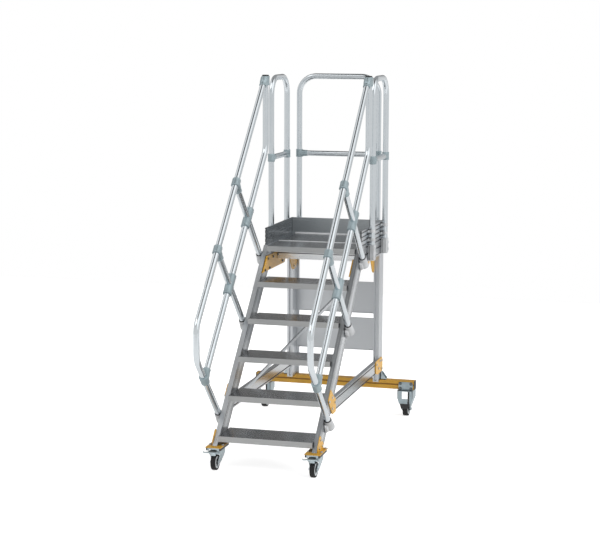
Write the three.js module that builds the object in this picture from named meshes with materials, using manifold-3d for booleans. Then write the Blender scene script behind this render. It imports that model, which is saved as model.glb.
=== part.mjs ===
// A rolling warehouse ladder: a 45 degree flight of treads up to a railed platform.
// It stands on two braked swivel casters at the foot of the stairs and two fixed ones under a rear crossbeam.
// Millimetres, +Z up. The climb goes towards +Y, and +X is the climber's right.
import * as THREE from "three";
import { mergeVertices } from "three/addons/utils/BufferGeometryUtils.js";
import Module from "manifold-3d";

const wasm = await Module();
wasm.setup();

// ---------------------------------------------------------------- driving dimensions
const GAP = 0.3; // between faces that touch
const SIDES = [["left", -1], ["right", 1]];

// Stairs. Y is 0 at the lowest tread's nose until the whole ladder is centred at the end.
const TREAD_COUNT = 5;
const RISE = 1250 / 6;
const RUN = RISE;
const STEP_WIDTH = 600;
const TREAD_DEPTH = 240;
const NOSE_HEIGHT = 35;
const SHEET = 3; // wall of the treads and the deck

// Frame profiles: stringers, side beams, base rails and posts share their outer faces.
const INNER_X = STEP_WIDTH / 2;
const OUTER_X = INNER_X + 30;
const WALL = 3;
const STRINGER_FRONT = 42; // horizontal distance from the nose line to the stringer's front face
const STRINGER_REAR = 205;
const PLATE = 5;
const PLATE_X = OUTER_X + GAP;

// Platform
const DECK_Z = 6 * RISE;
const DECK_FRONT = TREAD_COUNT * RUN;
const DECK_JOINT = DECK_FRONT + 296;
const DECK_BACK = 1764;
const BEAM_DEPTH = 115;
const BEAM_Z = DECK_Z - BEAM_DEPTH;
const TOE_HEIGHT = 112;
const TOE_THICKNESS = 8;
const TOE_FRONT = 1110;

// Rear posts and the base
const POST_INNER_X = 290;
const POST_FRONT = 1648;
const PANEL = 4; // thickness of the rear panels
const CROSS_TOP = 250;
const CROSS_SIZE = 60;
const CROSS_FRONT = 1697;
const CROSS_HALF = 570;
const RAIL_BOTTOM = 317;
const RAIL_TOP = 396;

// Tubes of the handrails and guard rails
const TUBE_R = 20;
const BORE_R = 17.5;
const TUBE_SIDES = 12;
const BORE_SIDES = 8;
const CLEAR_R = (TUBE_R + GAP) / Math.cos(Math.PI / TUBE_SIDES); // bore of a sleeve round a tube
const SLEEVE_R = 27;
const RAIL_X = 351;
const GUARD_TOP = 2346;
const GUARD_KNEE = 1812;
const HOOP_FRONT = 1328;
const HOOP_REAR = 1711;
const BACK_HOOP_X = 282;
const BACK_HOOP_Y = 1786;
const HOOP_BEND = 120;

// Casters
const WHEEL_R = 50;
const AXLE_R = 6;
const FRONT_WHEEL = { x: 313, y: -12, width: 35 };
const REAR_WHEEL = { x: 514, y: 1727, width: 40 };
const WHEEL_SIDES = 24;
const SWIVEL_Y = 28;
const FOOT_PLATE_TOP = 150;
const PAD_BOTTOM = 137;
const PEDAL_PIVOT = { y: -20, z: 110 };

// ---------------------------------------------------------------- materials
const metal = (colour, roughness, metalness = 0.9) =>
  new THREE.MeshStandardMaterial({ color: colour, roughness, metalness });
const ALUMINIUM = metal(0xc4c8cb, 0.35);
const TUBE_ALUMINIUM = metal(0xd2d6d8, 0.3);
const TREAD_ALUMINIUM = metal(0x8f9192, 0.5);
const TOE_ALUMINIUM = metal(0x6c7276, 0.4);
const ZINC = metal(0xa3b2b8, 0.45);
const YELLOW = metal(0xc88f28, 0.5, 0.1);
const BLACK = metal(0x1f2022, 0.75, 0);

// ---------------------------------------------------------------- geometry helpers
function outline(points, holes = []) {
  const shape = new THREE.Shape(points.map(([u, v]) => new THREE.Vector2(u, v)));
  for (const hole of holes) {
    shape.holes.push(new THREE.Path(hole.map(([u, v]) => new THREE.Vector2(u, v))));
  }
  return shape;
}

const rectangle = (u0, u1, v0, v1) => [[u0, v0], [u1, v0], [u1, v1], [u0, v1]];

// A rectangle with rounded corners, or with only its upper two corners rounded.
function roundedRectangle(u0, u1, v0, v1, radius, upperOnly = false) {
  const points = [];
  const corners = [[u1, v1, 0], [u0, v1, 90], [u0, v0, 180], [u1, v0, 270]];
  for (const [u, v, start] of corners) {
    if (upperOnly && v === v0) {
      points.push([u, v]);
      continue;
    }
    const cu = u === u1 ? u1 - radius : u0 + radius;
    const cv = v === v1 ? v1 - radius : v0 + radius;
    for (const degrees of [0, 45, 90]) {
      const angle = THREE.MathUtils.degToRad(start + degrees);
      points.push([cu + radius * Math.cos(angle), cv + radius * Math.sin(angle)]);
    }
  }
  return points;
}

// Prisms along each axis. alongX takes (y, z) outlines, alongY takes (x, z) and alongZ takes (x, y).
function prism(shape, low, high, matrix) {
  const geometry = new THREE.ExtrudeGeometry(shape, { depth: high - low, bevelEnabled: false });
  return geometry.translate(0, 0, low).applyMatrix4(matrix);
}
const AXES_X = new THREE.Matrix4().set(0, 0, 1, 0, 1, 0, 0, 0, 0, 1, 0, 0, 0, 0, 0, 1);
const AXES_Y = new THREE.Matrix4().set(1, 0, 0, 0, 0, 0, -1, 0, 0, 1, 0, 0, 0, 0, 0, 1);
const AXES_Z = new THREE.Matrix4();
const alongX = (points, x0, x1, holes) => prism(outline(points, holes), x0, x1, AXES_X);
const alongY = (points, y0, y1, holes) => prism(outline(points, holes), -y1, -y0, AXES_Y);
const alongZ = (points, z0, z1, holes) => prism(outline(points, holes), z0, z1, AXES_Z);

function block(x0, x1, y0, y1, z0, z1) {
  const geometry = new THREE.BoxGeometry(x1 - x0, y1 - y0, z1 - z0);
  return geometry.translate((x0 + x1) / 2, (y0 + y1) / 2, (z0 + z1) / 2);
}

// A cylinder or cone frustum between two points, with its radius at each.
function rod(from, to, radiusFrom, radiusTo = radiusFrom, sides = TUBE_SIDES) {
  const start = new THREE.Vector3(...from);
  const end = new THREE.Vector3(...to);
  const along = end.clone().sub(start);
  const geometry = new THREE.CylinderGeometry(radiusTo, radiusFrom, along.length(), sides);
  const turn = new THREE.Quaternion().setFromUnitVectors(
    new THREE.Vector3(0, 1, 0), along.clone().normalize());
  const middle = start.add(end).multiplyScalar(0.5);
  return geometry.applyQuaternion(turn).translate(middle.x, middle.y, middle.z);
}

// A flat route of straight stretches joined by round bends, with one extrusion step for each of its points.
class BentPath extends THREE.Curve {
  constructor(corners, bendRadius, bendSteps, flatNormal) {
    super();
    this.flatNormal = new THREE.Vector3(...flatNormal);
    const stops = corners.map((corner) => corner.clone());
    this.stops = [stops[0]];
    for (let i = 1; i < stops.length - 1; i++) {
      const before = stops[i - 1].clone().sub(stops[i]).normalize();
      const after = stops[i + 1].clone().sub(stops[i]).normalize();
      const half = before.angleTo(after) / 2;
      const centre = before.clone().add(after).normalize()
        .multiplyScalar(bendRadius / Math.sin(half)).add(stops[i]);
      const reach = bendRadius / Math.tan(half);
      const first = stops[i].clone().addScaledVector(before, reach).sub(centre);
      const last = stops[i].clone().addScaledVector(after, reach).sub(centre);
      const sweep = first.angleTo(last);
      const axis = first.clone().cross(last).normalize();
      for (let k = 0; k <= bendSteps; k++) {
        const arm = first.clone().applyAxisAngle(axis, (sweep * k) / bendSteps);
        this.stops.push(arm.add(centre));
      }
    }
    this.stops.push(stops[stops.length - 1]);
  }

  get steps() {
    return this.stops.length - 1;
  }

  getSpacedPoints() {
    return this.stops;
  }

  computeFrenetFrames() {
    const frames = { tangents: [], normals: [], binormals: [] };
    this.stops.forEach((stop, i) => {
      const back = this.stops[Math.max(i - 1, 0)];
      const ahead = this.stops[Math.min(i + 1, this.steps)];
      const tangent = ahead.clone().sub(back).normalize();
      frames.tangents.push(tangent);
      frames.normals.push(this.flatNormal.clone());
      frames.binormals.push(tangent.clone().cross(this.flatNormal).normalize());
    });
    return frames;
  }
}

function circle(radius, sides = TUBE_SIDES) {
  const points = [];
  for (let i = 0; i < sides; i++) {
    const angle = (2 * Math.PI * (i + 0.5)) / sides;
    points.push([radius * Math.cos(angle), radius * Math.sin(angle)]);
  }
  return points;
}

// A round bar along a bent route, lengthened at both ends by overrun.
function sweep(corners, radius, sides, { bend = HOOP_BEND, normal = [1, 0, 0], overrun = 0 } = {}) {
  const route = corners.map((corner) => new THREE.Vector3(...corner));
  const ends = [[0, 1], [route.length - 1, route.length - 2]];
  const longer = ends.map(([end, next]) =>
    route[end].clone().addScaledVector(route[end].clone().sub(route[next]).normalize(), overrun));
  route[0] = longer[0];
  route[route.length - 1] = longer[1];
  const path = new BentPath(route, bend, 5, normal);
  const section = outline(circle(radius, sides));
  return new THREE.ExtrudeGeometry(section, { steps: path.steps, extrudePath: path });
}

// Joins and cuts closed geometries.
function solid(geometry) {
  const plain = geometry.index ? geometry.toNonIndexed() : geometry.clone();
  plain.deleteAttribute("normal");
  plain.deleteAttribute("uv");
  const merged = mergeVertices(plain, 1e-3);
  return new wasm.Manifold(new wasm.Mesh({
    numProp: 3,
    vertProperties: new Float32Array(merged.attributes.position.array),
    triVerts: new Uint32Array(merged.index.array),
  }));
}

function combine(added, removed = []) {
  let body = solid(added[0]);
  for (const geometry of added.slice(1)) body = body.add(solid(geometry));
  for (const geometry of removed) body = body.subtract(solid(geometry));
  return fromSolid(body);
}

function fromSolid(body) {
  const mesh = body.getMesh();
  const geometry = new THREE.BufferGeometry();
  geometry.setAttribute("position", new THREE.BufferAttribute(mesh.vertProperties, 3));
  geometry.setIndex(new THREE.BufferAttribute(mesh.triVerts, 1));
  geometry.computeVertexNormals();
  return geometry;
}

const overlap = (first, second) => fromSolid(solid(first).intersect(solid(second)));

const ladder = new THREE.Group();

function place(name, geometry, material, parent = ladder) {
  const mesh = new THREE.Mesh(geometry, material);
  mesh.name = name;
  parent.add(mesh);
  return mesh;
}

// A stretch of x on one side of the ladder, lowest first.
const span = (side, near, far) => (side > 0 ? [near, far] : [-far, -near]);

// ---------------------------------------------------------------- stairs
const stringerY = (z, offset) => z - RISE + offset;

function stringer(side) {
  const [x0, x1] = span(side, INNER_X, OUTER_X);
  const wallAlongY = WALL * Math.SQRT2;
  const section = rectangle(x0, x1, STRINGER_FRONT - RISE, STRINGER_REAR - RISE);
  const bore = rectangle(x0 + WALL, x1 - WALL, STRINGER_FRONT - RISE + wallAlongY,
    STRINGER_REAR - RISE - wallAlongY);
  const slope = new THREE.Matrix4().makeShear(0, 0, 0, 0, 0, 1);
  return alongZ(section, FOOT_PLATE_TOP + GAP, DECK_Z - GAP, [bore]).applyMatrix4(slope);
}

// A channel open downwards, with a lip at its front and back and two ribs under its walking face.
function channel(y0, y1, top, lip) {
  const ribs = [y0 + (y1 - y0) / 3, y0 + (2 * (y1 - y0)) / 3];
  const under = top - SHEET;
  const points = [[y0, top], [y0, top - lip], [y0 + SHEET, top - lip], [y0 + SHEET, under]];
  for (const rib of ribs) {
    points.push([rib, under], [rib, under - 12], [rib + SHEET, under - 12], [rib + SHEET, under]);
  }
  points.push([y1 - SHEET, under], [y1 - SHEET, top - lip], [y1, top - lip], [y1, top]);
  return points;
}

function addStairs() {
  for (const [name, side] of SIDES) place(`stringer_${name}`, stringer(side), ALUMINIUM);
  for (let step = 1; step <= TREAD_COUNT; step++) {
    const front = (step - 1) * RUN;
    const section = channel(front, front + TREAD_DEPTH, step * RISE, NOSE_HEIGHT);
    place(`tread_${step}`, alongX(section, GAP - INNER_X, INNER_X - GAP), TREAD_ALUMINIUM);
  }
}

// ---------------------------------------------------------------- platform
function addPlatform() {
  const nosing = channel(DECK_FRONT, DECK_JOINT - GAP, DECK_Z, NOSE_HEIGHT);
  place("platform_nosing", alongX(nosing, GAP - INNER_X, INNER_X - GAP), TREAD_ALUMINIUM);
  const deck = channel(DECK_JOINT, DECK_BACK - TOE_THICKNESS - GAP, DECK_Z, NOSE_HEIGHT);
  place("deck_panel", alongX(deck, GAP - INNER_X, INNER_X - GAP), TREAD_ALUMINIUM);

  for (const [name, side] of SIDES) {
    const [x0, x1] = span(side, INNER_X, OUTER_X);
    const front = (z) => stringerY(z, STRINGER_REAR) + GAP;
    const top = DECK_Z - GAP;
    const ends = [[front(BEAM_Z), BEAM_Z], [DECK_BACK, BEAM_Z], [DECK_BACK, top], [front(top), top]];
    const bore = alongX(rectangle(front(BEAM_Z), DECK_BACK + 1, BEAM_Z + WALL, top - WALL),
      x0 + WALL, x1 - WALL);
    place(`side_beam_${name}`, combine([alongX(ends, x0, x1)], [bore]), ALUMINIUM);

    const [t0, t1] = span(side, OUTER_X - TOE_THICKNESS, OUTER_X);
    place(`toe_board_${name}`, toeBoard(TOE_FRONT, t0, t1, side), TOE_ALUMINIUM);
  }
  const back = block(TOE_THICKNESS + GAP - OUTER_X, OUTER_X - TOE_THICKNESS - GAP,
    DECK_BACK - TOE_THICKNESS, DECK_BACK, DECK_Z + GAP, DECK_Z + TOE_HEIGHT);
  place("toe_board_back", back, TOE_ALUMINIUM);

  const underDeck = DECK_Z - NOSE_HEIGHT - GAP;
  const half = INNER_X - PLATE - 2 * GAP;
  const [near, far] = [DECK_JOINT - 50, DECK_JOINT + 50];
  const tube = rectangle(near, far, BEAM_Z, underDeck);
  const tubeBore = rectangle(near + WALL, far - WALL, BEAM_Z + WALL, underDeck - WALL);
  place("front_deck_beam", alongX(tube, -half, half, [tubeBore]), ALUMINIUM);
}

// An upright board with three shallow grooves along its outer face.
function toeBoard(front, x0, x1, side) {
  const depth = 2;
  const outer = side > 0 ? x1 : x0;
  const inner = side > 0 ? x0 : x1;
  const bottom = DECK_Z + GAP;
  const top = DECK_Z + TOE_HEIGHT;
  const points = [[inner, bottom], [outer, bottom]];
  for (const share of [0.25, 0.5, 0.75]) {
    const z = bottom + (top - bottom) * share;
    points.push([outer, z - 5], [outer - side * depth, z - 5]);
    points.push([outer - side * depth, z + 5], [outer, z + 5]);
  }
  points.push([outer, top], [inner, top]);
  return alongY(points, front, DECK_BACK);
}

// Yellow plates inside the stringers, the side beams and the posts.
function addGussets() {
  const low = BEAM_Z - 50;
  const high = BEAM_Z + 50;
  const frontEdge = (z) => stringerY(z, STRINGER_FRONT + 8);
  for (const [name, side] of SIDES) {
    const [x0, x1] = span(side, INNER_X - PLATE - GAP, INNER_X - GAP);
    const plate = [[frontEdge(low), low], [1460, low], [1500, BEAM_Z], [1500, high],
      [frontEdge(high), high]];
    place(`front_gusset_${name}`, alongX(plate, x0, x1), YELLOW);

    const postFace = POST_INNER_X - GAP;
    const [p0, p1] = span(side, postFace - PLATE, postFace);
    const [s0, s1] = span(side, postFace - 1, INNER_X - GAP);
    const drop = [[1540, BEAM_Z - 4], [1615, BEAM_Z - 118], [1660, BEAM_Z - 128], [1722, BEAM_Z - 116],
      [1742, BEAM_Z - 80], [1742, high], [1540, high]];
    const spacer = alongX(rectangle(1540, 1742, BEAM_Z, high), s0, s1);
    place(`rear_gusset_${name}`, combine([alongX(drop, p0, p1), spacer]), YELLOW);
  }
}

// ---------------------------------------------------------------- rear posts and panels
function addPosts() {
  const lip = 18;
  const lipFront = DECK_BACK - 14;
  for (const [name, side] of SIDES) {
    const at = (x) => side * x;
    const section = [[at(OUTER_X), POST_FRONT], [at(POST_INNER_X), POST_FRONT], [at(POST_INNER_X), lipFront],
      [at(POST_INNER_X - lip), lipFront], [at(POST_INNER_X - lip), DECK_BACK], [at(OUTER_X), DECK_BACK]];
    const [b0, b1] = span(side, POST_INNER_X + WALL, OUTER_X - WALL);
    const bore = rectangle(b0, b1, POST_FRONT + WALL, DECK_BACK - WALL);
    const post = alongZ(section, CROSS_TOP - 7, BEAM_Z - GAP, [bore]);
    const [n0, n1] = span(side, POST_INNER_X - lip - 1, OUTER_X + 1);
    const notch = block(n0, n1, CROSS_FRONT - GAP, DECK_BACK + 1, CROSS_TOP - 8, CROSS_TOP + GAP);
    place(`rear_post_${name}`, combine([post], [notch]), ALUMINIUM);
  }
  const half = POST_INNER_X - GAP;
  const panel = (z0, z1) => block(-half, half, lipFront - GAP - PANEL, lipFront - GAP, z0, z1);
  place("upper_panel", panel(706, 928), ALUMINIUM);
  place("lower_panel", panel(444, 675), ALUMINIUM);
}

// ---------------------------------------------------------------- base frame
function addBase() {
  for (const [name, side] of SIDES) {
    const [x0, x1] = span(side, INNER_X, OUTER_X);
    place(`base_rail_${name}`, baseRail(x0, x1), ALUMINIUM);
    const [p0, p1] = span(side, PLATE_X, PLATE_X + PLATE);
    place(`front_joint_plate_${name}`, alongX(frontJointOutline(), p0, p1), YELLOW);
    const rear = [[1545, 322], [1600, 304], [1750, 308], [1750, 392], [1725, 409], [1545, 405]];
    place(`rear_joint_plate_${name}`, alongX(rear, p0, p1), YELLOW);

    const at = (x) => side * (PLATE_X + x);
    const ribs = [[at(0), CROSS_TOP + GAP], [at(40), CROSS_TOP + GAP], [at(40), CROSS_TOP + 7],
      [at(6), CROSS_TOP + 52], [at(0), CROSS_TOP + 52]];
    place(`corner_bracket_${name}`, alongY(ribs, CROSS_FRONT + 4, CROSS_FRONT + 56), ZINC);
  }
  const ends = rectangle(CROSS_FRONT, CROSS_FRONT + CROSS_SIZE, CROSS_TOP - CROSS_SIZE, CROSS_TOP);
  const bore = rectangle(CROSS_FRONT + WALL, CROSS_FRONT + CROSS_SIZE - WALL,
    CROSS_TOP - CROSS_SIZE + WALL, CROSS_TOP - WALL);
  place("rear_crossbeam", alongX(ends, -CROSS_HALF, CROSS_HALF, [bore]), YELLOW);
  for (const [name, side] of SIDES) {
    const [x0, x1] = span(side, CROSS_HALF + GAP, CROSS_HALF + 5);
    place(`crossbeam_cap_${name}`, alongX(ends, x0, x1), BLACK);
  }
  place("diagonal_brace", brace(), ALUMINIUM);
}

// A level box rail from the stringer's slanted rear face back to the post.
function baseRail(x0, x1) {
  const front = (z) => stringerY(z, STRINGER_REAR) + GAP;
  const back = POST_FRONT - GAP;
  const body = [[front(RAIL_BOTTOM), RAIL_BOTTOM], [back, RAIL_BOTTOM], [back, RAIL_TOP],
    [front(RAIL_TOP), RAIL_TOP]];
  const bore = alongX(rectangle(front(RAIL_BOTTOM) - 1, back + 1, RAIL_BOTTOM + WALL, RAIL_TOP - WALL),
    x0 + WALL, x1 - WALL);
  return combine([alongX(body, x0, x1)], [bore]);
}

// The plate over the joint of stringer and base rail. Its front edge follows the stringer.
function frontJointOutline() {
  const y = (z) => stringerY(z, STRINGER_FRONT);
  const shoulder = 412;
  const tip = 476;
  return [[y(shoulder), shoulder], [y(shoulder) + 104, shoulder - 104], [432, shoulder - 104], [432, 390],
    [372, 424], [y(tip), tip]];
}

// A thin bar from the left base rail up to the right front gusset, behind the flight of treads.
function brace() {
  const low = new THREE.Vector3(GAP - INNER_X, 523, 378);
  const high = new THREE.Vector3(INNER_X - PLATE - 2 * GAP, 1165, 1066);
  const along = high.clone().sub(low);
  const section = rectangle(-8, 8, -14, 14);
  const width = high.x - low.x;
  const shear = new THREE.Matrix4().set(
    1, 0, 0, low.x,
    along.y / width, Math.SQRT1_2, -Math.SQRT1_2, low.y,
    along.z / width, Math.SQRT1_2, Math.SQRT1_2, low.z,
    0, 0, 0, 1);
  const bar = alongX(section, 0, width).applyMatrix4(shear);
  const lug = block(high.x - 6, high.x, high.y - 16, high.y + 16, high.z - 20, BEAM_Z - 8);
  return combine([bar, lug]);
}

// ---------------------------------------------------------------- tubes
const upperRail = (y) => y + 1171;
const kneeRail = (y) => y + 680;
const UPPER_STRUT = 2245; // y + z along each strut
const LOWER_STRUT = 1486;
const LOWEST_LEG = 483;
const RAIL_FRONT_Y = -240;
const RAIL_TOP_Y = 1193;

const meet = (sum, offset) => (sum - offset) / 2;
const socketY = (sum) => (sum - (RISE - (STRINGER_FRONT + STRINGER_REAR) / 2)) / 2;

// A cone around a tube's lower end on a round boss, both flat where they bear on the stringer's outer face.
function socket(x, side, sum) {
  const y = socketY(sum);
  const z = sum - y;
  const along = (reach) => [x, y + reach, z - reach];
  const cone = rod(along(-46), along(14), TUBE_R + 4, TUBE_R + 12);
  const boss = rod([side * PLATE_X, y, z], [x, y, z], TUBE_R + 12);
  const [inner, outer] = span(side, 0, PLATE_X);
  const stringerFace = block(inner, outer, y - 100, y + 100, z - 100, z + 100);
  return { body: combine([cone, boss], [stringerFace]), root: along(14), mouth: along(30) };
}

function sleeve(x, y, z, slope, half = 34) {
  const step = half * Math.SQRT1_2;
  return rod([x, y - step, z - slope * step], [x, y + step, z + slope * step], SLEEVE_R);
}

function addHandrails() {
  for (const [name, side] of SIDES) {
    const x = side * RAIL_X;
    const point = (y, z) => [x, y, z];
    const lowest = socket(x, side, LOWEST_LEG);
    const railStart = point(RAIL_TOP_Y - 20, upperRail(RAIL_TOP_Y - 20));
    const bends = [point(RAIL_FRONT_Y, upperRail(RAIL_FRONT_Y)),
      point(RAIL_FRONT_Y, LOWEST_LEG - RAIL_FRONT_Y)];
    const rail = sweep([railStart, ...bends, lowest.root], TUBE_R, TUBE_SIDES);
    const railBore = sweep([railStart, ...bends, lowest.mouth], BORE_R, BORE_SIDES, { overrun: 2 });
    const kneeTop = rod(point(RAIL_TOP_Y, 1900), point(RAIL_TOP_Y, 2500), CLEAR_R);
    const topSleeve = rod(point(RAIL_TOP_Y, upperRail(RAIL_TOP_Y) - 44),
      point(RAIL_TOP_Y, upperRail(RAIL_TOP_Y) + 2), SLEEVE_R);
    place(`handrail_${name}`, combine([rail, topSleeve, lowest.body], [kneeTop, railBore]), TUBE_ALUMINIUM);

    const kneeY = meet(LOWEST_LEG, kneeRail(0));
    const kneeRoute = [point(RAIL_TOP_Y, upperRail(RAIL_TOP_Y) + 8),
      point(RAIL_TOP_Y, kneeRail(RAIL_TOP_Y)), point(kneeY + 10, kneeRail(kneeY + 10))];
    const legClearance = rod(point(kneeY - 120, LOWEST_LEG - kneeY + 120),
      point(kneeY + 120, LOWEST_LEG - kneeY - 120), CLEAR_R);
    place(`knee_rail_${name}`,
      combine([sweep(kneeRoute, TUBE_R, TUBE_SIDES), sleeve(x, kneeY, kneeRail(kneeY), -1)],
        [legClearance, sweep(kneeRoute, BORE_R, BORE_SIDES, { overrun: 2 })]), TUBE_ALUMINIUM);

    for (const [strutName, sum] of [["upper", UPPER_STRUT], ["lower", LOWER_STRUT]]) {
      place(`${strutName}_strut_${name}`, strut(x, side, sum), TUBE_ALUMINIUM);
    }
  }
}

// A straight tube square to the flight: sleeves ride the two rails, and a socket holds it on the stringer.
function strut(x, side, sum) {
  const topY = meet(sum, upperRail(0));
  const crossY = meet(sum, kneeRail(0));
  const foot = socket(x, side, sum);
  const at = (y) => [x, y, sum - y];
  const tube = rod(at(topY), foot.root, TUBE_R);
  const branches = [rod(at(topY), at(topY + 38), TUBE_R + 3),
    rod(at(crossY - 32), at(crossY + 32), TUBE_R + 3)];
  const sleeves = [sleeve(x, topY, sum - topY, 1), sleeve(x, crossY, sum - crossY, 1)];
  const bore = rod(at(topY), foot.mouth, BORE_R, BORE_R, BORE_SIDES);
  const clearances = [[topY, sum - topY], [crossY, sum - crossY]].map(([y, z]) =>
    rod([x, y - 80, z - 80], [x, y + 80, z + 80], CLEAR_R));
  return combine([tube, ...branches, ...sleeves, foot.body], [bore, ...clearances]);
}

// Guard rails: a hoop on each side of the platform and one across its back, each with a knee bar.
function addHoops() {
  for (const [name, side] of SIDES) {
    const x = side * RAIL_X;
    const at = (y, z) => [x, y, z];
    const corners = [at(HOOP_FRONT, BEAM_Z + 6), at(HOOP_FRONT, GUARD_TOP), at(HOOP_REAR, GUARD_TOP),
      at(HOOP_REAR, BEAM_Z + 6)];
    const feet = [HOOP_FRONT, HOOP_REAR].map((y) => hoopFoot(x, y, side));
    place(`guard_hoop_${name}`, hoop(corners, at(HOOP_FRONT, GUARD_KNEE), at(HOOP_REAR, GUARD_KNEE), feet),
      TUBE_ALUMINIUM);
  }
  const at = (x, z) => [x, BACK_HOOP_Y, z];
  const corners = [at(-BACK_HOOP_X, BEAM_Z + 20), at(-BACK_HOOP_X, GUARD_TOP), at(BACK_HOOP_X, GUARD_TOP),
    at(BACK_HOOP_X, BEAM_Z + 20)];
  const clips = [];
  for (const x of [-BACK_HOOP_X, BACK_HOOP_X]) {
    for (const z of [BEAM_Z + 40, DECK_Z + 60]) {
      clips.push(block(x - 26, x + 26, DECK_BACK + GAP, BACK_HOOP_Y + 8, z - 14, z + 14));
    }
  }
  const knees = [at(-BACK_HOOP_X, GUARD_KNEE), at(BACK_HOOP_X, GUARD_KNEE)];
  const backHoop = hoop(corners, ...knees, clips, [0, 1, 0]);
  place("guard_hoop_back", backHoop, TUBE_ALUMINIUM);
}

// A bent tube open at its lower ends, with a knee bar between two collars and its fastenings.
function hoop(corners, kneeFrom, kneeTo, fastened, normal = [1, 0, 0]) {
  const skin = sweep(corners, TUBE_R, TUBE_SIDES, { normal });
  const bore = sweep(corners, BORE_R, BORE_SIDES, { normal, overrun: 20 });
  const knee = rod(kneeFrom, kneeTo, TUBE_R - 1);
  const kneeBore = rod(kneeFrom, kneeTo, BORE_R - 1, BORE_R - 1, BORE_SIDES);
  const collars = [kneeFrom, kneeTo].map(([x, y, z]) => rod([x, y, z - 27], [x, y, z + 27], SLEEVE_R - 2));
  return combine([skin, knee, ...collars, ...fastened], [bore, kneeBore]);
}

// The clamp block that holds a hoop's leg on the side beam.
function hoopFoot(x, y, side) {
  const outer = side * (RAIL_X + 27);
  const inner = side * PLATE_X;
  const points = roundedRectangle(Math.min(inner, outer), Math.max(inner, outer), y - 28, y + 28, 9);
  return alongZ(points, BEAM_Z, BEAM_Z + 98);
}

// ---------------------------------------------------------------- casters
// An upright plate seen from the side: straight from its top corners down to a round end about the axle.
function taperedCheek(top0, top1, topZ, axleY, radius) {
  const points = [[top1, topZ], [top0, topZ]];
  for (const degrees of [205, 235, 270, 305, 335]) {
    const angle = THREE.MathUtils.degToRad(degrees);
    points.push([axleY + radius * Math.cos(angle), WHEEL_R + radius * Math.sin(angle)]);
  }
  return points;
}

// Tyre and hub in one turned solid, with a flat facet of the tyre on the floor.
function wheel(centreX, centreY, width, hubWidth) {
  const outer = WHEEL_R / Math.cos(Math.PI / WHEEL_SIDES);
  const half = width / 2;
  const hub = hubWidth / 2;
  const profile = [[AXLE_R + 1, -hub], [15, -hub], [15, -half + 5], [outer - 5, -half], [outer, -half + 6],
    [outer, half - 6], [outer - 5, half], [15, half - 5], [15, hub], [AXLE_R + 1, hub], [AXLE_R + 1, -hub]];
  const turned = new THREE.LatheGeometry(profile.map(([r, h]) => new THREE.Vector2(r, h)), WHEEL_SIDES);
  turned.rotateY(Math.PI / WHEEL_SIDES).rotateZ(Math.PI / 2);
  return fromSolid(solid(turned)).translate(centreX, centreY, WHEEL_R);
}

function addFrontCasters() {
  for (const [name, side] of SIDES) {
    const centre = side * FRONT_WHEEL.x;
    place(`foot_plate_${name}`, footPlate(side, centre), YELLOW);
    const pin = circle(AXLE_R + 1).map(([u, v]) => [u + centre, v + SWIVEL_Y]);
    const pad = rectangle(centre - 46, centre + 46, -51, 121);
    place(`foot_pad_${name}`, alongZ(pad, PAD_BOTTOM, FOOT_PLATE_TOP - PLATE - GAP, [pin]), BLACK);
    place(`front_fork_${name}`, frontFork(centre), ZINC);
    place(`front_wheel_${name}`, wheel(centre, FRONT_WHEEL.y, FRONT_WHEEL.width, 40), BLACK);
    place(`brake_pedal_${name}`, brakePedal(centre), ZINC);
  }
}

// The plate under the stringer's foot, with a tab up the stringer's outer face.
function footPlate(side, centre) {
  const pin = circle(AXLE_R + 1).map(([u, v]) => [u + centre, v + SWIVEL_Y]);
  const edges = rectangle(centre - 50, centre + 50, -55, 133);
  const sole = alongZ(edges, FOOT_PLATE_TOP - PLATE, FOOT_PLATE_TOP, [pin]);
  const [x0, x1] = span(side, PLATE_X, PLATE_X + PLATE);
  const tab = [[-5, 146], [132, 146], [132, 176], [96, 208], [72, 232], [58, 240], [46, 236], [-5, 180]];
  return combine([sole, alongX(tab, x0, x1)]);
}

function frontFork(centre) {
  const crown = block(centre - 25, centre + 25, -32, 82, 113, 120);
  const cheek = taperedCheek(-32, 82, 118, FRONT_WHEEL.y, 15);
  const cheeks = [-1, 1].map((hand) => alongX(cheek, centre + Math.min(hand * 21, hand * 25),
    centre + Math.max(hand * 21, hand * 25)));
  const race = rod([centre, SWIVEL_Y, 119], [centre, SWIVEL_Y, PAD_BOTTOM - 1], 36, 31, 16);
  const kingpin = rod([centre, SWIVEL_Y, 125], [centre, SWIVEL_Y, FOOT_PLATE_TOP - 1], AXLE_R);
  const axle = rod([centre - 30, FRONT_WHEEL.y, WHEEL_R], [centre + 30, FRONT_WHEEL.y, WHEEL_R], AXLE_R);
  const pivotAt = (x) => [centre + x, PEDAL_PIVOT.y, PEDAL_PIVOT.z];
  const pivot = rod(pivotAt(-31), pivotAt(31), 3.5, 3.5, 8);
  const inside = block(centre - 20, centre + 20, PEDAL_PIVOT.y - 6, PEDAL_PIVOT.y + 6, 100, 112.5);
  return combine([crown, ...cheeks, race, kingpin, axle, combine([pivot], [inside])]);
}

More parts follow.
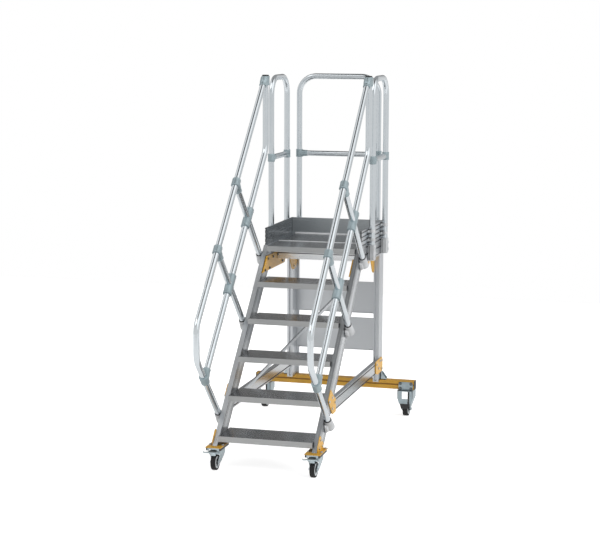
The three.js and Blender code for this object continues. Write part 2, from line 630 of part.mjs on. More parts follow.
// A shelf over the front of the fork with a pointed lever on its left and a shoe that meets the tyre.
function brakePedal(centre) {
  const { y, z } = PEDAL_PIVOT;
  const shelf = alongZ([[30, -34], [-30, -34], [-30, -66], [-52, -84], [-49, -92], [-20, -84], [30, -74]]
    .map(([u, v]) => [centre + u, v]), 121, 125);
  const ear = [[-60, 125], [-60, 119], [y - 7, z - 5], [y, z - 8], [y + 6, z - 5], [y + 8, z],
    [y + 4, z + 6], [-34, 125]];
  const ears = [-1, 1].map((hand) => alongX(ear, centre + Math.min(hand * 26, hand * 30),
    centre + Math.max(hand * 26, hand * 30)));
  const shoe = block(centre - 14, centre + 14, -52, -41, 97, 122);
  const tip = block(centre - 52, centre - 38, -91, -80, 123, 132);
  const pivotBore = rod([centre - 40, y, z], [centre + 40, y, z], 4.3, 4.3, 10);
  return combine([shelf, ...ears, shoe, tip], [pivotBore]);
}

function addRearCasters() {
  for (const [name, side] of SIDES) {
    const centre = side * REAR_WHEEL.x;
    place(`rear_fork_${name}`, rearFork(centre), ZINC);
    place(`rear_wheel_${name}`, wheel(centre, REAR_WHEEL.y, REAR_WHEEL.width, 50), BLACK);
  }
}

// A fixed fork of folded plate. Its top plate and an upright plate hold it to the crossbeam.
function rearFork(centre) {
  const top = CROSS_TOP - CROSS_SIZE - GAP;
  const half = [[54, top], [54, 130], [31, 62], [31, 34], [27, 34], [27, 63], [50, 131], [50, top - 6]];
  const mirrored = half.map(([u, v]) => [-u, v]).reverse();
  const folded = alongY([...half, ...mirrored].map(([u, v]) => [centre + u, v]), 1670, 1784);
  const narrowing = taperedCheek(1670, 1784, 150, REAR_WHEEL.y, 15).slice(1);
  const seen = [[1784, 150], [1784, top + 1], [1670, top + 1], ...narrowing];
  const web = [[39, 96], [48, 122], [-48, 122], [-39, 96]].map(([u, v]) => [centre + u, v]);
  const bridge = alongY(web, 1688, 1692);
  const bracket = roundedRectangle(centre - 50, centre + 50, top - 6, CROSS_TOP - 6, 12, true);
  const hanger = alongY(bracket, CROSS_FRONT - GAP - PLATE, CROSS_FRONT - GAP);
  const axle = rod([centre - 35, REAR_WHEEL.y, WHEEL_R], [centre + 35, REAR_WHEEL.y, WHEEL_R], AXLE_R);
  return combine([overlap(folded, alongX(seen, centre - 60, centre + 60)), bridge, hanger, axle]);
}

addStairs();
addPlatform();
addGussets();
addPosts();
addBase();
addHandrails();
addHoops();
addFrontCasters();
addRearCasters();

// The origin ends up on the floor under the middle of the ladder.
const middle = new THREE.Box3().setFromObject(ladder).getCenter(new THREE.Vector3());
ladder.position.y = -middle.y;
const root = new THREE.Group();
root.add(ladder);

export default root;
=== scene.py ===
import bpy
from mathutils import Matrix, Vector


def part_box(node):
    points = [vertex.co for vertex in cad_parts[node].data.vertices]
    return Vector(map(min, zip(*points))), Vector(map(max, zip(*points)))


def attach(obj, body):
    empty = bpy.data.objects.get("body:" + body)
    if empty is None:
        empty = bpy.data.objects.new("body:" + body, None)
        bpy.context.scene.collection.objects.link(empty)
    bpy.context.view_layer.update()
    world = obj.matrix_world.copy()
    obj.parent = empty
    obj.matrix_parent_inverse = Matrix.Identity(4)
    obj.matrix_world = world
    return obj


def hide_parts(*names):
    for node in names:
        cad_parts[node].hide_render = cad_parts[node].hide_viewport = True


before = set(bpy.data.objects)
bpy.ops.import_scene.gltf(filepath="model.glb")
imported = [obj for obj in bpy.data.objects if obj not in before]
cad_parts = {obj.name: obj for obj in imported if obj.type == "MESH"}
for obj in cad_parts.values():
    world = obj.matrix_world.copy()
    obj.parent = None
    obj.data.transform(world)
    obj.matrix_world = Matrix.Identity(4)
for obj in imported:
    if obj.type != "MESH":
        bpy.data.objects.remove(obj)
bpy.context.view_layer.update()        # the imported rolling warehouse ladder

import math

import bmesh
import bpy
from mathutils import Matrix, Vector

# Lengths are millimetres, with y measured from the lowest tread's nose; build() makes them metres.
MM = 1000
NOSE_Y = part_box("tread_1")[0].y * MM
SIDES = (("left", -1), ("right", 1))
ACROSS, CLIMB, UP = Vector((1, 0, 0)), Vector((0, 1, 0)), Vector((0, 0, 1))
SLOPE = Vector((0, 1, 1)).normalized()
DOWNHILL = Vector((0, 1, -1)).normalized()
GAP = 0.3  # clearance that touching pieces keep
SHARP = 32  # edges turning by more degrees than this are creased and bevelled


def box_of(node):
    """Lowest and highest corner of a CAD node, in millimetres from the lowest nose."""
    low, high = (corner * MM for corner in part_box(node))
    shift = Vector((0, NOSE_Y, 0))
    return low - shift, high - shift


def middle_of(node, axis):
    return sum(corner[axis] for corner in box_of(node)) / 2


# ---------------------------------------------------------------- dimensions taken from the frame
RISE = box_of("tread_1")[1].z
DECK_Z = box_of("deck_panel")[1].z
STRINGER = box_of("stringer_right")
INNER_X, OUTER_X = STRINGER[0].x, STRINGER[1].x
STRINGER_FRONT = 42 - RISE  # y - z on the stringer's front and rear faces
STRINGER_REAR = 205 - RISE
BEAM = box_of("side_beam_right")
CROSSBEAM = box_of("rear_crossbeam")
POST_INNER_X, POST_LIP_X = 290, 272

TUBE_R = 19.3
BAR_R = 18.6
BEND_R = 120
RAIL_X = middle_of("knee_rail_right", 0)
RAIL_TOP_Y = 1193
RAIL_TOP_Z = box_of("knee_rail_right")[1].z
RAIL_FRONT_Y = -240
UPPER_LINE = 1171  # z - y along the handrail
KNEE_LINE = 680  # z - y along the knee rail
SOCKET_LINE = 84.8  # z - y of the sockets, along the middle of the stringer's outer face
LEG_SUM = 483  # z + y along the handrail's leg
STRUT_SUMS = (("upper", 2245), ("lower", 1486))
SLEEVE_R = 27

GUARD_TOP = box_of("guard_hoop_back")[1].z - TUBE_R
GUARD_KNEE = 1812
HOOP_Y = (box_of("guard_hoop_right")[0].y + 28, box_of("guard_hoop_right")[1].y - 28)
BACK_HOOP_X = 282
BACK_HOOP_Y = box_of("guard_hoop_back")[1].y - 25

WHEEL_R = 50
FRONT_AXLE_Y = middle_of("front_wheel_right", 1)
REAR_AXLE_Y = middle_of("rear_wheel_right", 1)
SWIVEL_Y = 28
PEDAL_PIVOT = (-20, 110)  # y and z


# ---------------------------------------------------------------- materials
class Graph:
    """The node tree of a material or world, with short ways to add to it."""

    def __init__(self, owner):
        owner.use_nodes = True
        self.tree = owner.node_tree

    def feed(self, node, inputs):
        """Links or fills in a node's inputs."""
        for name, value in inputs.items():
            if isinstance(value, bpy.types.NodeSocket):
                self.tree.links.new(value, node.inputs[name])
            else:
                node.inputs[name].default_value = value

    def add(self, kind, inputs, output=0, **settings):
        """A new node's output. It has its settings before its inputs, which depend on them."""
        node = self.tree.nodes.new("ShaderNode" + kind)
        for name, value in settings.items():
            setattr(node, name, value)
        self.feed(node, inputs)
        return node.outputs[output]

    def where(self, space="Object"):
        return self.add("TexCoord", {}, space)

    def axes(self, vector):
        return [self.add("SeparateXYZ", {"Vector": vector}, axis) for axis in "XYZ"]

    def noise(self, scale, detail=4):
        return self.add("TexNoise", {"Vector": self.where(), "Scale": scale, "Detail": detail})

    def drawn_noise(self, along, fine, coarse=3):
        """Noise drawn out along a direction, as extrusion and rolling leave it."""
        turn = Vector(along).to_track_quat("X", "Z").to_euler()
        turned_to = self.add("Mapping", {"Vector": self.where(), "Rotation": turn},
                             vector_type="TEXTURE")
        stretched = self.add("Mapping", {"Vector": turned_to, "Scale": (coarse, fine, fine)})
        return self.add("TexNoise", {"Vector": stretched, "Scale": 1, "Detail": 3})

    def ramp(self, value, low, high, start=0.3, end=0.7, shape="LINEAR"):
        """Takes start to low and end to high, and goes no further."""
        limits = {"From Min": start, "From Max": end, "To Min": low, "To Max": high}
        return self.add("MapRange", {"Value": value, **limits}, interpolation_type=shape)

    def mix(self, share, first, second):
        """first, tending to second as share goes to 1. Each is a colour or an output."""
        ends = {name: colour if isinstance(colour, bpy.types.NodeSocket) else (*colour, 1)
                for name, colour in (("A", first), ("B", second))}
        return self.add("Mix", {"Factor": share, **ends}, "Result", data_type="RGBA")

    def maths(self, operation, first, second=0.0):
        return self.add("Math", {0: first, 1: second}, operation=operation)

    def bump(self, height, strength, distance):
        return self.add("Bump", {"Height": height, "Strength": strength, "Distance": distance})

    def edges(self, radius):
        """1 on rounded and sharp edges, 0 on open faces."""
        rounded_normal = self.add("Bevel", {"Radius": radius}, samples=4)
        normal = self.add("NewGeometry", {}, "Normal")
        likeness = self.add("VectorMath", {0: rounded_normal, 1: normal}, "Value",
                            operation="DOT_PRODUCT")
        return self.ramp(likeness, 1, 0, 0.8, 0.99)


def new_material(name, slot):
    material = bpy.data.materials.new(name)
    material["slot"] = slot
    graph = Graph(material)
    return material, graph, graph.tree.nodes["Principled BSDF"]


def scaled(colour, factor, lift=0.0):
    return [min(1, c * factor + lift) for c in colour]


def drawn_metal(name, slot, colour, roughness, along, lines=0.06, fine=900, relief=0.015):
    """Extruded or rolled metal: fine lines along one direction, faint stains and handling marks."""
    material, graph, shader = new_material(name, slot)
    grain, stain = graph.drawn_noise(along, fine), graph.noise(9)
    tone = graph.maths("MULTIPLY", graph.ramp(grain, 0.4, 1), graph.ramp(stain, 0.88, 1))
    rough = graph.maths("MULTIPLY", graph.ramp(stain, 0.96, 1.06),
                        graph.ramp(grain, roughness * 0.85, roughness * 1.2))
    graph.feed(shader, {
        "Base Color": graph.mix(tone, scaled(colour, 1 - lines), scaled(colour, 1 + lines)),
        "Roughness": rough, "Normal": graph.bump(grain, relief, 0.0001), "Metallic": 1})
    return material


def anodised(name, colour, roughness, painted_shade_above=None):
    """Smooth anodised tube: an even satin skin with faint marks, and painted shade that darkens it
    above a height when one is given.
    """
    material, graph, shader = new_material(name, "tube_aluminium")
    cloud, scuffs = graph.ramp(graph.noise(7, 2), 0, 1), graph.noise(30, 2)
    base = graph.mix(cloud, scaled(colour, 0.97), colour)
    # painted shade: the colour darkens above the given height
    if painted_shade_above is not None:
        height = graph.axes(graph.where())[2]
        share = graph.ramp(height, 0, 1, painted_shade_above / MM, (painted_shade_above + 60) / MM)
        base = graph.mix(share, base, scaled(colour, 0.77))
    graph.feed(shader, {"Base Color": base, "Metallic": 1,
                        "Roughness": graph.ramp(scuffs, roughness * 0.96, roughness * 1.06)})
    return material


def plated_steel(name, slot, colour, roughness, metallic=0.85):
    """Zinc plate or a fine casting: a soft mottled sheen with worn, brighter edges."""
    material, graph, shader = new_material(name, slot)
    spangle, cloud = graph.noise(130, 5), graph.noise(14)
    base = graph.mix(graph.ramp(cloud, 0, 1), scaled(colour, 0.86), scaled(colour, 1.1))
    wear = graph.maths("MULTIPLY", graph.edges(0.0015), graph.ramp(spangle, 0.2, 0.7))
    graph.feed(shader, {
        "Base Color": graph.mix(wear, base, scaled(colour, 1.3)), "Metallic": metallic,
        "Roughness": graph.ramp(spangle, roughness * 0.85, roughness * 1.2),
        "Normal": graph.bump(spangle, 0.08, 0.0003)})
    return material


def powder_coat(name, colour):
    """Powder-coated steel: fine orange peel, chips along the edges."""
    material, graph, shader = new_material(name, "yellow_paint")
    peel, cloud = graph.noise(700, 2), graph.noise(11)
    base = graph.mix(graph.ramp(cloud, 0, 1), scaled(colour, 0.93), scaled(colour, 1.05))
    chipped = graph.maths("MULTIPLY", graph.edges(0.001), graph.ramp(graph.noise(60), 0.1, 0.8))
    graph.feed(shader, {
        "Base Color": graph.mix(chipped, base, scaled(colour, 1.25, 0.04)),
        "Roughness": graph.ramp(cloud, 0.36, 0.46), "Normal": graph.bump(peel, 0.1, 0.0003),
        "Specular IOR Level": 0.5, "Coat Weight": 0.25, "Coat Roughness": 0.2})
    return material


def moulded(name, slot, colour, roughness, grain=400):
    """Moulded rubber or plastic: matt with a fine texture and dusty patches."""
    material, graph, shader = new_material(name, slot)
    texture, dust = graph.noise(grain, 3), graph.noise(25)
    share = graph.ramp(dust, 0, 1, 0.4, 0.75)
    graph.feed(shader, {
        "Base Color": graph.mix(share, colour, scaled(colour, 1.4, 0.008)),
        "Roughness": graph.ramp(dust, roughness * 0.9, min(1, roughness * 1.15)),
        "Normal": graph.bump(texture, 0.15, 0.0004)})
    return material


def frame_metal(name, colour, roughness, along, lines=0.06, relief=0.015):
    return drawn_metal("aluminium_" + name, "frame_aluminium", colour, roughness, along, lines,
                       relief=relief)


ALUMINIUM = (0.60, 0.62, 0.64)
frame_up = frame_metal("upright", ALUMINIUM, 0.3, UP)
frame_level = frame_metal("level", ALUMINIUM, 0.2, CLIMB)
frame_slope = frame_metal("sloping", ALUMINIUM, 0.28, SLOPE)
panel_metal = frame_metal("sheet", (0.62, 0.64, 0.66), 0.42, ACROSS, 0.03)
# painted shade: darker copies of the aluminium for the stringers' front faces, darker on the right
# stringer
right_front_painted_shade_metal = frame_metal("facing", (0.3, 0.31, 0.32), 0.34, SLOPE)
frame_shaded = frame_metal("inner_face", (0.44, 0.455, 0.47), 0.28, SLOPE)
left_front_painted_shade_metal = frame_metal("facing_left", (0.45, 0.462, 0.475), 0.34, SLOPE)
# painted shade: the base rails take a darker copy of the frame aluminium
rail_painted_shade_metal = frame_metal("base_rail", (0.55, 0.565, 0.58), 0.22, CLIMB, 0.03, 0.01)
# painted light: a near-white copy of the aluminium stands in for the floor's reflection on the
# front deck beam
beam_painted_light_metal = frame_metal("front_beam", (0.93, 0.94, 0.95), 0.28, ACROSS, 0.03, 0.01)
# painted shade: a near-black aluminium stands in for the shade inside slots and grooves
slot_painted_shade_metal = frame_metal("slot", (0.05, 0.053, 0.057), 0.55, SLOPE)
trim_metal = plated_steel("aluminium_trim", "frame_aluminium", (0.62, 0.63, 0.64), 0.5, 0.4)
tread_metal = drawn_metal("aluminium_tread", "tread_aluminium", (0.35, 0.355, 0.36), 0.2, ACROSS,
                          0.06, 130, 0.003)
nose_metal = drawn_metal("aluminium_nose", "tread_aluminium", (0.43, 0.435, 0.435), 0.34, ACROSS,
                         0.1, 500)
back_metal = drawn_metal("aluminium_back_board", "toe_board_aluminium", (0.42, 0.445, 0.46), 0.3,
                         ACROSS)
toe_metal = drawn_metal("aluminium_toe_board", "toe_board_aluminium", (0.30, 0.32, 0.34), 0.24,
                        CLIMB, 0.04, 300, 0.004)
TUBE_COLOUR = (0.74, 0.785, 0.815)
tube_metal = anodised("aluminium_tube", TUBE_COLOUR, 0.17)
# painted shade: the back hoop's tube darkens towards its top
back_tube_painted_shade_metal = anodised("aluminium_back_tube", TUBE_COLOUR, 0.17, GUARD_TOP - 70)
# painted shade: a darker copy of the tube aluminium for the knee bars
bar_painted_shade_metal = anodised("aluminium_bar", (0.57, 0.605, 0.63), 0.2)
fitting_metal = plated_steel("cast_fitting", "tube_aluminium", (0.33, 0.40, 0.425), 0.36, 0.7)
socket_metal = plated_steel("cast_socket", "tube_aluminium", (0.53, 0.54, 0.55), 0.5, 0.5)
zinc = plated_steel("zinc_plated_steel", "zinc_plate", (0.52, 0.60, 0.63), 0.36)
zinc_shaded = plated_steel("zinc_plated_shaded", "zinc_plate", (0.38, 0.45, 0.48), 0.34)
bolt_metal = plated_steel("bolt_steel", "zinc_plate", (0.62, 0.65, 0.67), 0.28, 1.0)
bolt_dark = plated_steel("bolt_shaded", "zinc_plate", (0.16, 0.18, 0.19), 0.3, 1.0)
yellow = powder_coat("yellow_powder_coat", (0.50, 0.265, 0.018))
# painted shade: a darker yellow stands in for the shade inside the crossbeam's grooves
yellow_slot_painted_shade = powder_coat("yellow_slot_painted_shade", (0.27, 0.13, 0.01))
tyre_rubber = moulded("tyre_rubber", "tyre", (0.006, 0.006, 0.0065), 0.7, 250)
rim_plastic = moulded("grey_rim", "tyre", (0.33, 0.35, 0.36), 0.45)
black_plastic = moulded("black_plastic", "black_plastic", (0.018, 0.018, 0.02), 0.5)


# ---------------------------------------------------------------- shapes: (points, faces)
BOX_FACES = [(0, 1, 2, 3), (4, 5, 6, 7), (0, 1, 5, 4), (1, 2, 6, 5), (2, 3, 7, 6), (3, 0, 4, 7)]


def prism(outline, low, high, place):
    """A solid with one outline all the way from low to high. place(u, v, w) gives the point."""
    count = len(outline)
    points = [place(u, v, w) for w in (low, high) for u, v in outline]
    faces = [(i, (i + 1) % count, (i + 1) % count + count, i + count) for i in range(count)]
    faces += [tuple(range(count)), tuple(range(count, 2 * count))]
    return points, faces


def along_x(y, z, x):
    return (x, y, z)


def along_y(x, z, y):
    return (x, y, z)


def along_z(x, y, z):
    return (x, y, z)


def along_slope(x, y, z):
    return (x, y + z, z)


def shifted(outline, distance):
    """The outline moved along its first axis."""
    return [(u + distance, v) for u, v in outline]


def rectangle(u0, u1, v0, v1):
    return [(u0, v0), (u1, v0), (u1, v1), (u0, v1)]


def rounded(u0, u1, v0, v1, radius, steps=4):
    points = []
    for u, v, start in ((u1, v1, 0), (u0, v1, 90), (u0, v0, 180), (u1, v0, 270)):
        cu = u - radius if u == u1 else u + radius
        cv = v - radius if v == v1 else v + radius
        for k in range(steps + 1):
            angle = math.radians(start + 90 * k / steps)
            points.append((cu + radius * math.cos(angle), cv + radius * math.sin(angle)))
    return points


def softened(corners, radius, steps=3):
    """The outline with each corner rounded, by at most a third of its shorter side."""
    points = []
    count = len(corners)
    for i, corner in enumerate(corners):
        here = Vector(corner)
        before = Vector(corners[i - 1]) - here
        after = Vector(corners[(i + 1) % count]) - here
        reach = min(radius, before.length / 3, after.length / 3)
        start = here + before.normalized() * reach
        end = here + after.normalized() * reach
        for k in range(steps + 1):
            t = k / steps
            points.append(tuple(start * (1 - t) ** 2 + here * 2 * t * (1 - t) + end * t ** 2))
    return points


def grooved(corners, grooves):
    """The outline with slots cut into its edges. grooves maps an edge's number to rows of distance,
    width and depth, with each distance from the edge's first corner to the middle of the slot."""
    points = []
    turn = sum(corners[i - 1][0] * c[1] - c[0] * corners[i - 1][1] for i, c in enumerate(corners))
    for i, corner in enumerate(corners):
        start, end = Vector(corner), Vector(corners[(i + 1) % len(corners)])
        run = (end - start).normalized()
        inward = Vector((-run.y, run.x)) * (1 if turn > 0 else -1)
        points.append(tuple(start))
        for distance, width, depth in sorted(grooves.get(i, ())):
            for along, deep in ((-0.5, 0), (-0.38, 1), (0.38, 1), (0.5, 0)):
                at = start + run * (distance + along * width) + inward * depth * deep
                points.append(tuple(at))
    return points


def turned(profile, origin, axis, sides=32):
    """A solid of revolution. profile is rows of radius and height, from the axis back to the axis,
    or a closed loop off it."""
    axis = Vector(axis).normalized()
    side = axis.cross(UP if abs(axis.z) < 0.9 else CLIMB).normalized()
    across = axis.cross(side)
    origin = Vector(origin)
    points, rings = [], []
    for radius, height in profile:
        rings.append(len(points))
        for k in range(sides if radius > 0 else 1):
            angle = 2 * math.pi * k / sides
            spoke = side * math.cos(angle) + across * math.sin(angle)
            points.append(origin + axis * height + spoke * radius)
    faces = []
    loop = profile[0][0] > 0
    for i in range(len(profile) if loop else len(profile) - 1):
        j = (i + 1) % len(profile)
        a, b = rings[i], rings[j]
        for k in range(sides):
            n = (k + 1) % sides
            first = (a + k, a + n) if profile[i][0] > 0 else (a,)
            second = (b + n, b + k) if profile[j][0] > 0 else (b,)
            if len(first + second) > 2:
                faces.append(first + second)
    return points, faces


def rod(start, end, radius, end_radius=None, sides=32, edge=1.0):
    """A bar or cone frustum with softened rims."""
    start, end = Vector(start), Vector(end)
    length = (end - start).length
    last = radius if end_radius is None else end_radius
    profile = [(0, 0), (radius - edge, 0), (radius, edge), (last, length - edge),
               (last - edge, length), (0, length)]
    return turned(profile, start, end - start, sides)


def bent_route(corners, bend=BEND_R, steps=10):
    """The middle line of a tube that turns at each inner corner."""
    stops = [Vector(c) for c in corners]
    route = [stops[0]]
    for before, here, after in zip(stops, stops[1:], stops[2:]):
        u, v = (before - here).normalized(), (after - here).normalized()
        half = u.angle(v) / 2
        centre = here + (u + v).normalized() * bend / math.sin(half)
        reach = bend / math.tan(half)
        first, last = here + u * reach - centre, here + v * reach - centre
        sweep = first.angle(last)
        axis = first.cross(last).normalized()
        for k in range(steps + 1):
            route.append(centre + Matrix.Rotation(sweep * k / steps, 3, axis) @ first)
    route.append(stops[-1])
    return route


def tube(corners, normal=ACROSS, wall=2.5, depth=30, sides=36):
    """A bent tube in a plane with that normal, open at both ends to the depth of its bore."""
    route = bent_route(corners)
    points, faces = [], []

    def ring(centre, tangent, radius):
        across = tangent.cross(normal).normalized()
        for k in range(sides):
            angle = 2 * math.pi * k / sides
            points.append(centre + (normal * math.cos(angle) + across * math.sin(angle)) * radius)

    tangents = []
    for i in range(len(route)):
        back, ahead = route[max(i - 1, 0)], route[min(i + 1, len(route) - 1)]
        tangents.append((ahead - back).normalized())
    inside = TUBE_R - wall
    ring(route[0] + tangents[0] * depth, tangents[0], inside)
    ring(route[0], tangents[0], inside)
    for centre, tangent in zip(route, tangents):
        ring(centre, tangent, TUBE_R)
    ring(route[-1], tangents[-1], inside)
    ring(route[-1] - tangents[-1] * depth, tangents[-1], inside)
    rings = len(points) // sides
    for i in range(rings - 1):
        for k in range(sides):
            n = (k + 1) % sides
            faces.append((i * sides + k, i * sides + n, (i + 1) * sides + n, (i + 1) * sides + k))
    faces += [tuple(range(sides)), tuple(range((rings - 1) * sides, rings * sides))]
    return points, faces


def hex_bolt(at, axis, size=7.0):
    """A washer and a hexagon head."""
    wide, face, top = size * 1.3, 1.4, 1.4 + size * 0.78
    washer = turned([(0, 0), (size * 1.15, 0), (wide, 0.6), (wide, face), (0, face)], at, axis, 20)
    side = face + size * 0.62
    head = turned([(0, face), (size, face), (size, side), (size * 0.8, top), (0, top)], at, axis, 6)
    return [washer, head]


# ---------------------------------------------------------------- building pieces
def build(name, shapes, material, body="frame", stands_for=(), bevel=0.8, sharp=SHARP):
    """One visible piece out of closed shapes."""
    mesh = bpy.data.meshes.new(name)
    mesh.materials.append(material)
    joined = bmesh.new()
    for points, faces in shapes:
        corners = [joined.verts.new((p[0] / MM, (p[1] + NOSE_Y) / MM, p[2] / MM)) for p in points]
        for face in faces:
            joined.faces.new([corners[i] for i in face])
    bmesh.ops.recalc_face_normals(joined, faces=joined.faces)
    joined.to_mesh(mesh)
    joined.free()
    mesh.shade_smooth()
    mesh.set_sharp_from_angle(angle=math.radians(sharp))
    obj = bpy.data.objects.new(name, mesh)
    bpy.context.scene.collection.objects.link(obj)
    if bevel:
        edges = obj.modifiers.new("edges", "BEVEL")
        edges.width = bevel / MM
        edges.segments = 2
        edges.limit_method = "ANGLE"
        edges.angle_limit = math.radians(sharp)
        edges.harden_normals = True
    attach(obj, body)
    if stands_for:
        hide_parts(*stands_for)
    return obj


def casting(name, shapes, material=fitting_metal):
    """A piece whose overlapping shapes blend into one casting with soft fillets."""
    obj = build(name, shapes, material, bevel=0)
    melt = obj.modifiers.new("melt", "REMESH")
    melt.mode = "VOXEL"
    melt.voxel_size = 1.7 / MM
    melt.use_smooth_shade = True
    fillets = obj.modifiers.new("fillets", "SMOOTH")
    fillets.iterations = 6
    fillets.factor = 0.6


def refinish(obj, material, chosen):
    """Gives the chosen faces of a piece another finish."""
    obj.data.materials.append(material)
    for face in obj.data.polygons:
        if chosen(face):
            face.material_index = len(obj.data.materials) - 1


def paint_slot_shade(obj, material, axis, low, high, reach=5):
    """Paints shade into the floors and walls of the slots in the two faces at low and high on an
    axis, with a dark finish.
    """
    def inside(face):
        where = face.center[axis] * MM - (NOSE_Y if axis == 1 else 0)
        return 0.4 < where - low < reach or 0.4 < high - where < reach

    refinish(obj, material, inside)


def bolts(name, spots, axis, size=7.0, material=bolt_metal):
    shapes = [shape for spot in spots for shape in hex_bolt(spot, axis, size)]
    build(name, shapes, material, bevel=0.3)


def slotted_bar(name, node, ends, section, slots, place, material, bevel):
    """An extrusion between two ends, with slots along it, that stands for a CAD node."""
    shape = prism(grooved(section, slots), *ends, place)
    return build(name, [shape], material, stands_for=[node], bevel=bevel)


def mitred_bar(name, node, side, slots, material, bevel):
    """A slotted bar along y whose front end lies on a stringer's sloping rear face."""
    low, high = box_of(node)
    inner, outer = side * INNER_X, side * OUTER_X
    points, faces = prism(grooved(rectangle(inner, outer, low.z, high.z), slots), 0, 1, along_y)
    ends = [(x, high.y if end else z + STRINGER_REAR + GAP, z) for x, end, z in points]
    bar = build(name, [(ends, faces)], material, stands_for=[node], bevel=bevel)
    paint_slot_shade(bar, slot_painted_shade_metal, 0, *sorted((inner, outer)))


# ---------------------------------------------------------------- stairs
def add_stringers():
    """Box extrusions with four slots on each side and one down the front."""
    slots = [(18, 9, 4), (46, 5, 2), (120, 5, 2), (149, 9, 4)]
    mirrored = [(STRINGER_REAR - STRINGER_FRONT - d, w, t) for d, w, t in slots]
    for name, side in SIDES:
        inner, outer = side * INNER_X, side * OUTER_X
        section = rectangle(inner, outer, STRINGER_FRONT, STRINGER_REAR)
        piece = slotted_bar(f"stringer_profile_{name}", f"stringer_{name}",
                            (STRINGER[0].z, STRINGER[1].z), section,
                            {0: [(15, 3, 1)], 1: slots, 3: mirrored}, along_slope, frame_slope, 0.6)
        refinish(piece, frame_shaded, lambda face: face.normal.x > 0.6 and side < 0)
        # painted shade on the front faces, darker on the right stringer than the left
        refinish(piece, right_front_painted_shade_metal if side > 0 else left_front_painted_shade_metal, lambda face: face.normal.y < -0.6)
        paint_slot_shade(piece, slot_painted_shade_metal, 0, *sorted((inner, outer)))


def stepped_channel(low, high, wall=4, pitch=13, ridge=0.22):
    """Outline of a tread from the side: lips front and back, a grooved nose, a ridged top."""
    front, back, top, lip = low.y, high.y, high.z, high.z - low.z
    under = top - wall
    points = [(front, top - lip)]
    for share in (0.2, 0.5, 0.8):
        z = top - lip + lip * share
        points += [(front, z - 1.6), (front + 1, z - 0.9), (front + 1, z + 0.9), (front, z + 1.6)]
    points.append((front, top))
    first = front + 12
    for k in range(int((back - 8 - first) / pitch)):
        y = first + k * pitch
        points += [(y, top), (y + 1, top - ridge), (y + pitch - 6, top - ridge),
                   (y + pitch - 5, top)]
    points += [(back, top), (back, top - lip), (back - wall, top - lip), (back - wall, under)]
    for share in (2 / 3, 1 / 3):
        rib = front + (back - front) * share
        points += [(rib + wall, under), (rib + wall, under - 12), (rib, under - 12), (rib, under)]
    return points + [(front + wall, under), (front + wall, top - lip)]


def add_channel(name, node):
    low, high = box_of(node)
    return build(name, [prism(stepped_channel(low, high), low.x, high.x, along_x)], tread_metal,
                 stands_for=[node], bevel=0.3, sharp=6)


def add_nosed_channel(name, node):
    """A channel with a brighter nose, and dark plates that close its ends as painted shade."""
    low, high = box_of(node)
    edge = (low.y + 2 + NOSE_Y) / MM
    refinish(add_channel(name, node), nose_metal,
             lambda face: face.center.y < edge and face.normal.z < 0.9)
    # painted shade: black plates stand in for the shade in the channel's open ends
    outline = rectangle(low.y + 4.5, high.y - 4.5, low.z + 1.5, high.z - 5)
    plates = [prism(outline, side * (high.x - 2), side * (high.x - 5), along_x)
              for side in (-1, 1)]
    build(f"{node}_end_painted_shade_plates", plates, black_plastic, bevel=0.3)


def add_treads():
    for step in range(1, 6):
        add_nosed_channel(f"tread_profile_{step}", f"tread_{step}")


# ---------------------------------------------------------------- platform
def add_deck():
    add_nosed_channel("platform_nosing_profile", "platform_nosing")
    add_channel("deck_profile", "deck_panel")
    low, high = box_of("deck_panel")
    joint, wall = low.y, box_of("toe_board_back")[0].y
    strip = [(joint - 9, DECK_Z - 1), (joint + 6, DECK_Z - 1), (joint + 6, DECK_Z + 2),
             (joint + 2, DECK_Z + 4), (joint - 4, DECK_Z + 4), (joint - 9, DECK_Z)]
    build("deck_joint_strip", [prism(strip, low.x, high.x, along_x)], trim_metal, bevel=0)
    strip = [(wall - 12, DECK_Z), (wall + 1, DECK_Z), (wall + 1, DECK_Z + 9),
             (wall - 3, DECK_Z + 9)]
    build("toe_board_trim", [prism(strip, low.x, high.x, along_x)], trim_metal, bevel=0.3)


def add_platform_sides():
    """Side beams, and toe boards with a plain inner face and a slotted outer one."""
    slots = [(12, 6, 3), (57, 8, 4), (104, 6, 3)]
    for name, side in SIDES:
        mitred_bar(f"side_beam_profile_{name}", f"side_beam_{name}", side, {1: slots, 3: slots},
                   frame_level, 0.6)
        low, high = box_of(f"toe_board_{name}")
        near, far = (high.x, low.x) if side < 0 else (low.x, high.x)
        height = high.z - low.z
        cuts = {1: [(height * share, 6, 3) for share in (0.12, 0.38, 0.63, 0.88)],
                3: [(height * share, 2.5, 0.8) for share in (0.3, 0.7)]}
        board = slotted_bar(f"toe_board_profile_{name}", f"toe_board_{name}", (low.y, high.y),
                            rectangle(near, far, low.z, high.z), cuts, along_y, toe_metal, 0.5)
        refinish(board, frame_level, lambda face: face.normal.x * side > 0.6)
        paint_slot_shade(board, slot_painted_shade_metal, 0, *sorted((near, far)), 3.9)


def add_cross_piece(name, node, cuts, material, bevel=0.5):
    """A slotted bar from side to side. cuts maps 1, its back, and 3, its front, to rows."""
    low, high = box_of(node)
    section = rectangle(low.y, high.y, low.z, high.z)
    return slotted_bar(name, node, (low.x, high.x), section, cuts, along_x, material, bevel)


def add_platform():
    add_deck()
    add_platform_sides()
    add_cross_piece("toe_board_profile_back", "toe_board_back",
                    {1: [(28, 12, 2.2), (56, 12, 2.2), (84, 12, 2.2)],
                     3: [(14, 2.5, 0.8), (100, 2.5, 0.8)]}, back_metal)
    low, high = box_of("front_deck_beam")
    beam = add_cross_piece("front_deck_beam_profile", "front_deck_beam",
                           {1: [(40, 9, 3)], 3: [(40, 5, 3)]}, beam_painted_light_metal, 0.6)
    paint_slot_shade(beam, slot_painted_shade_metal, 1, low.y, high.y, 3.5)


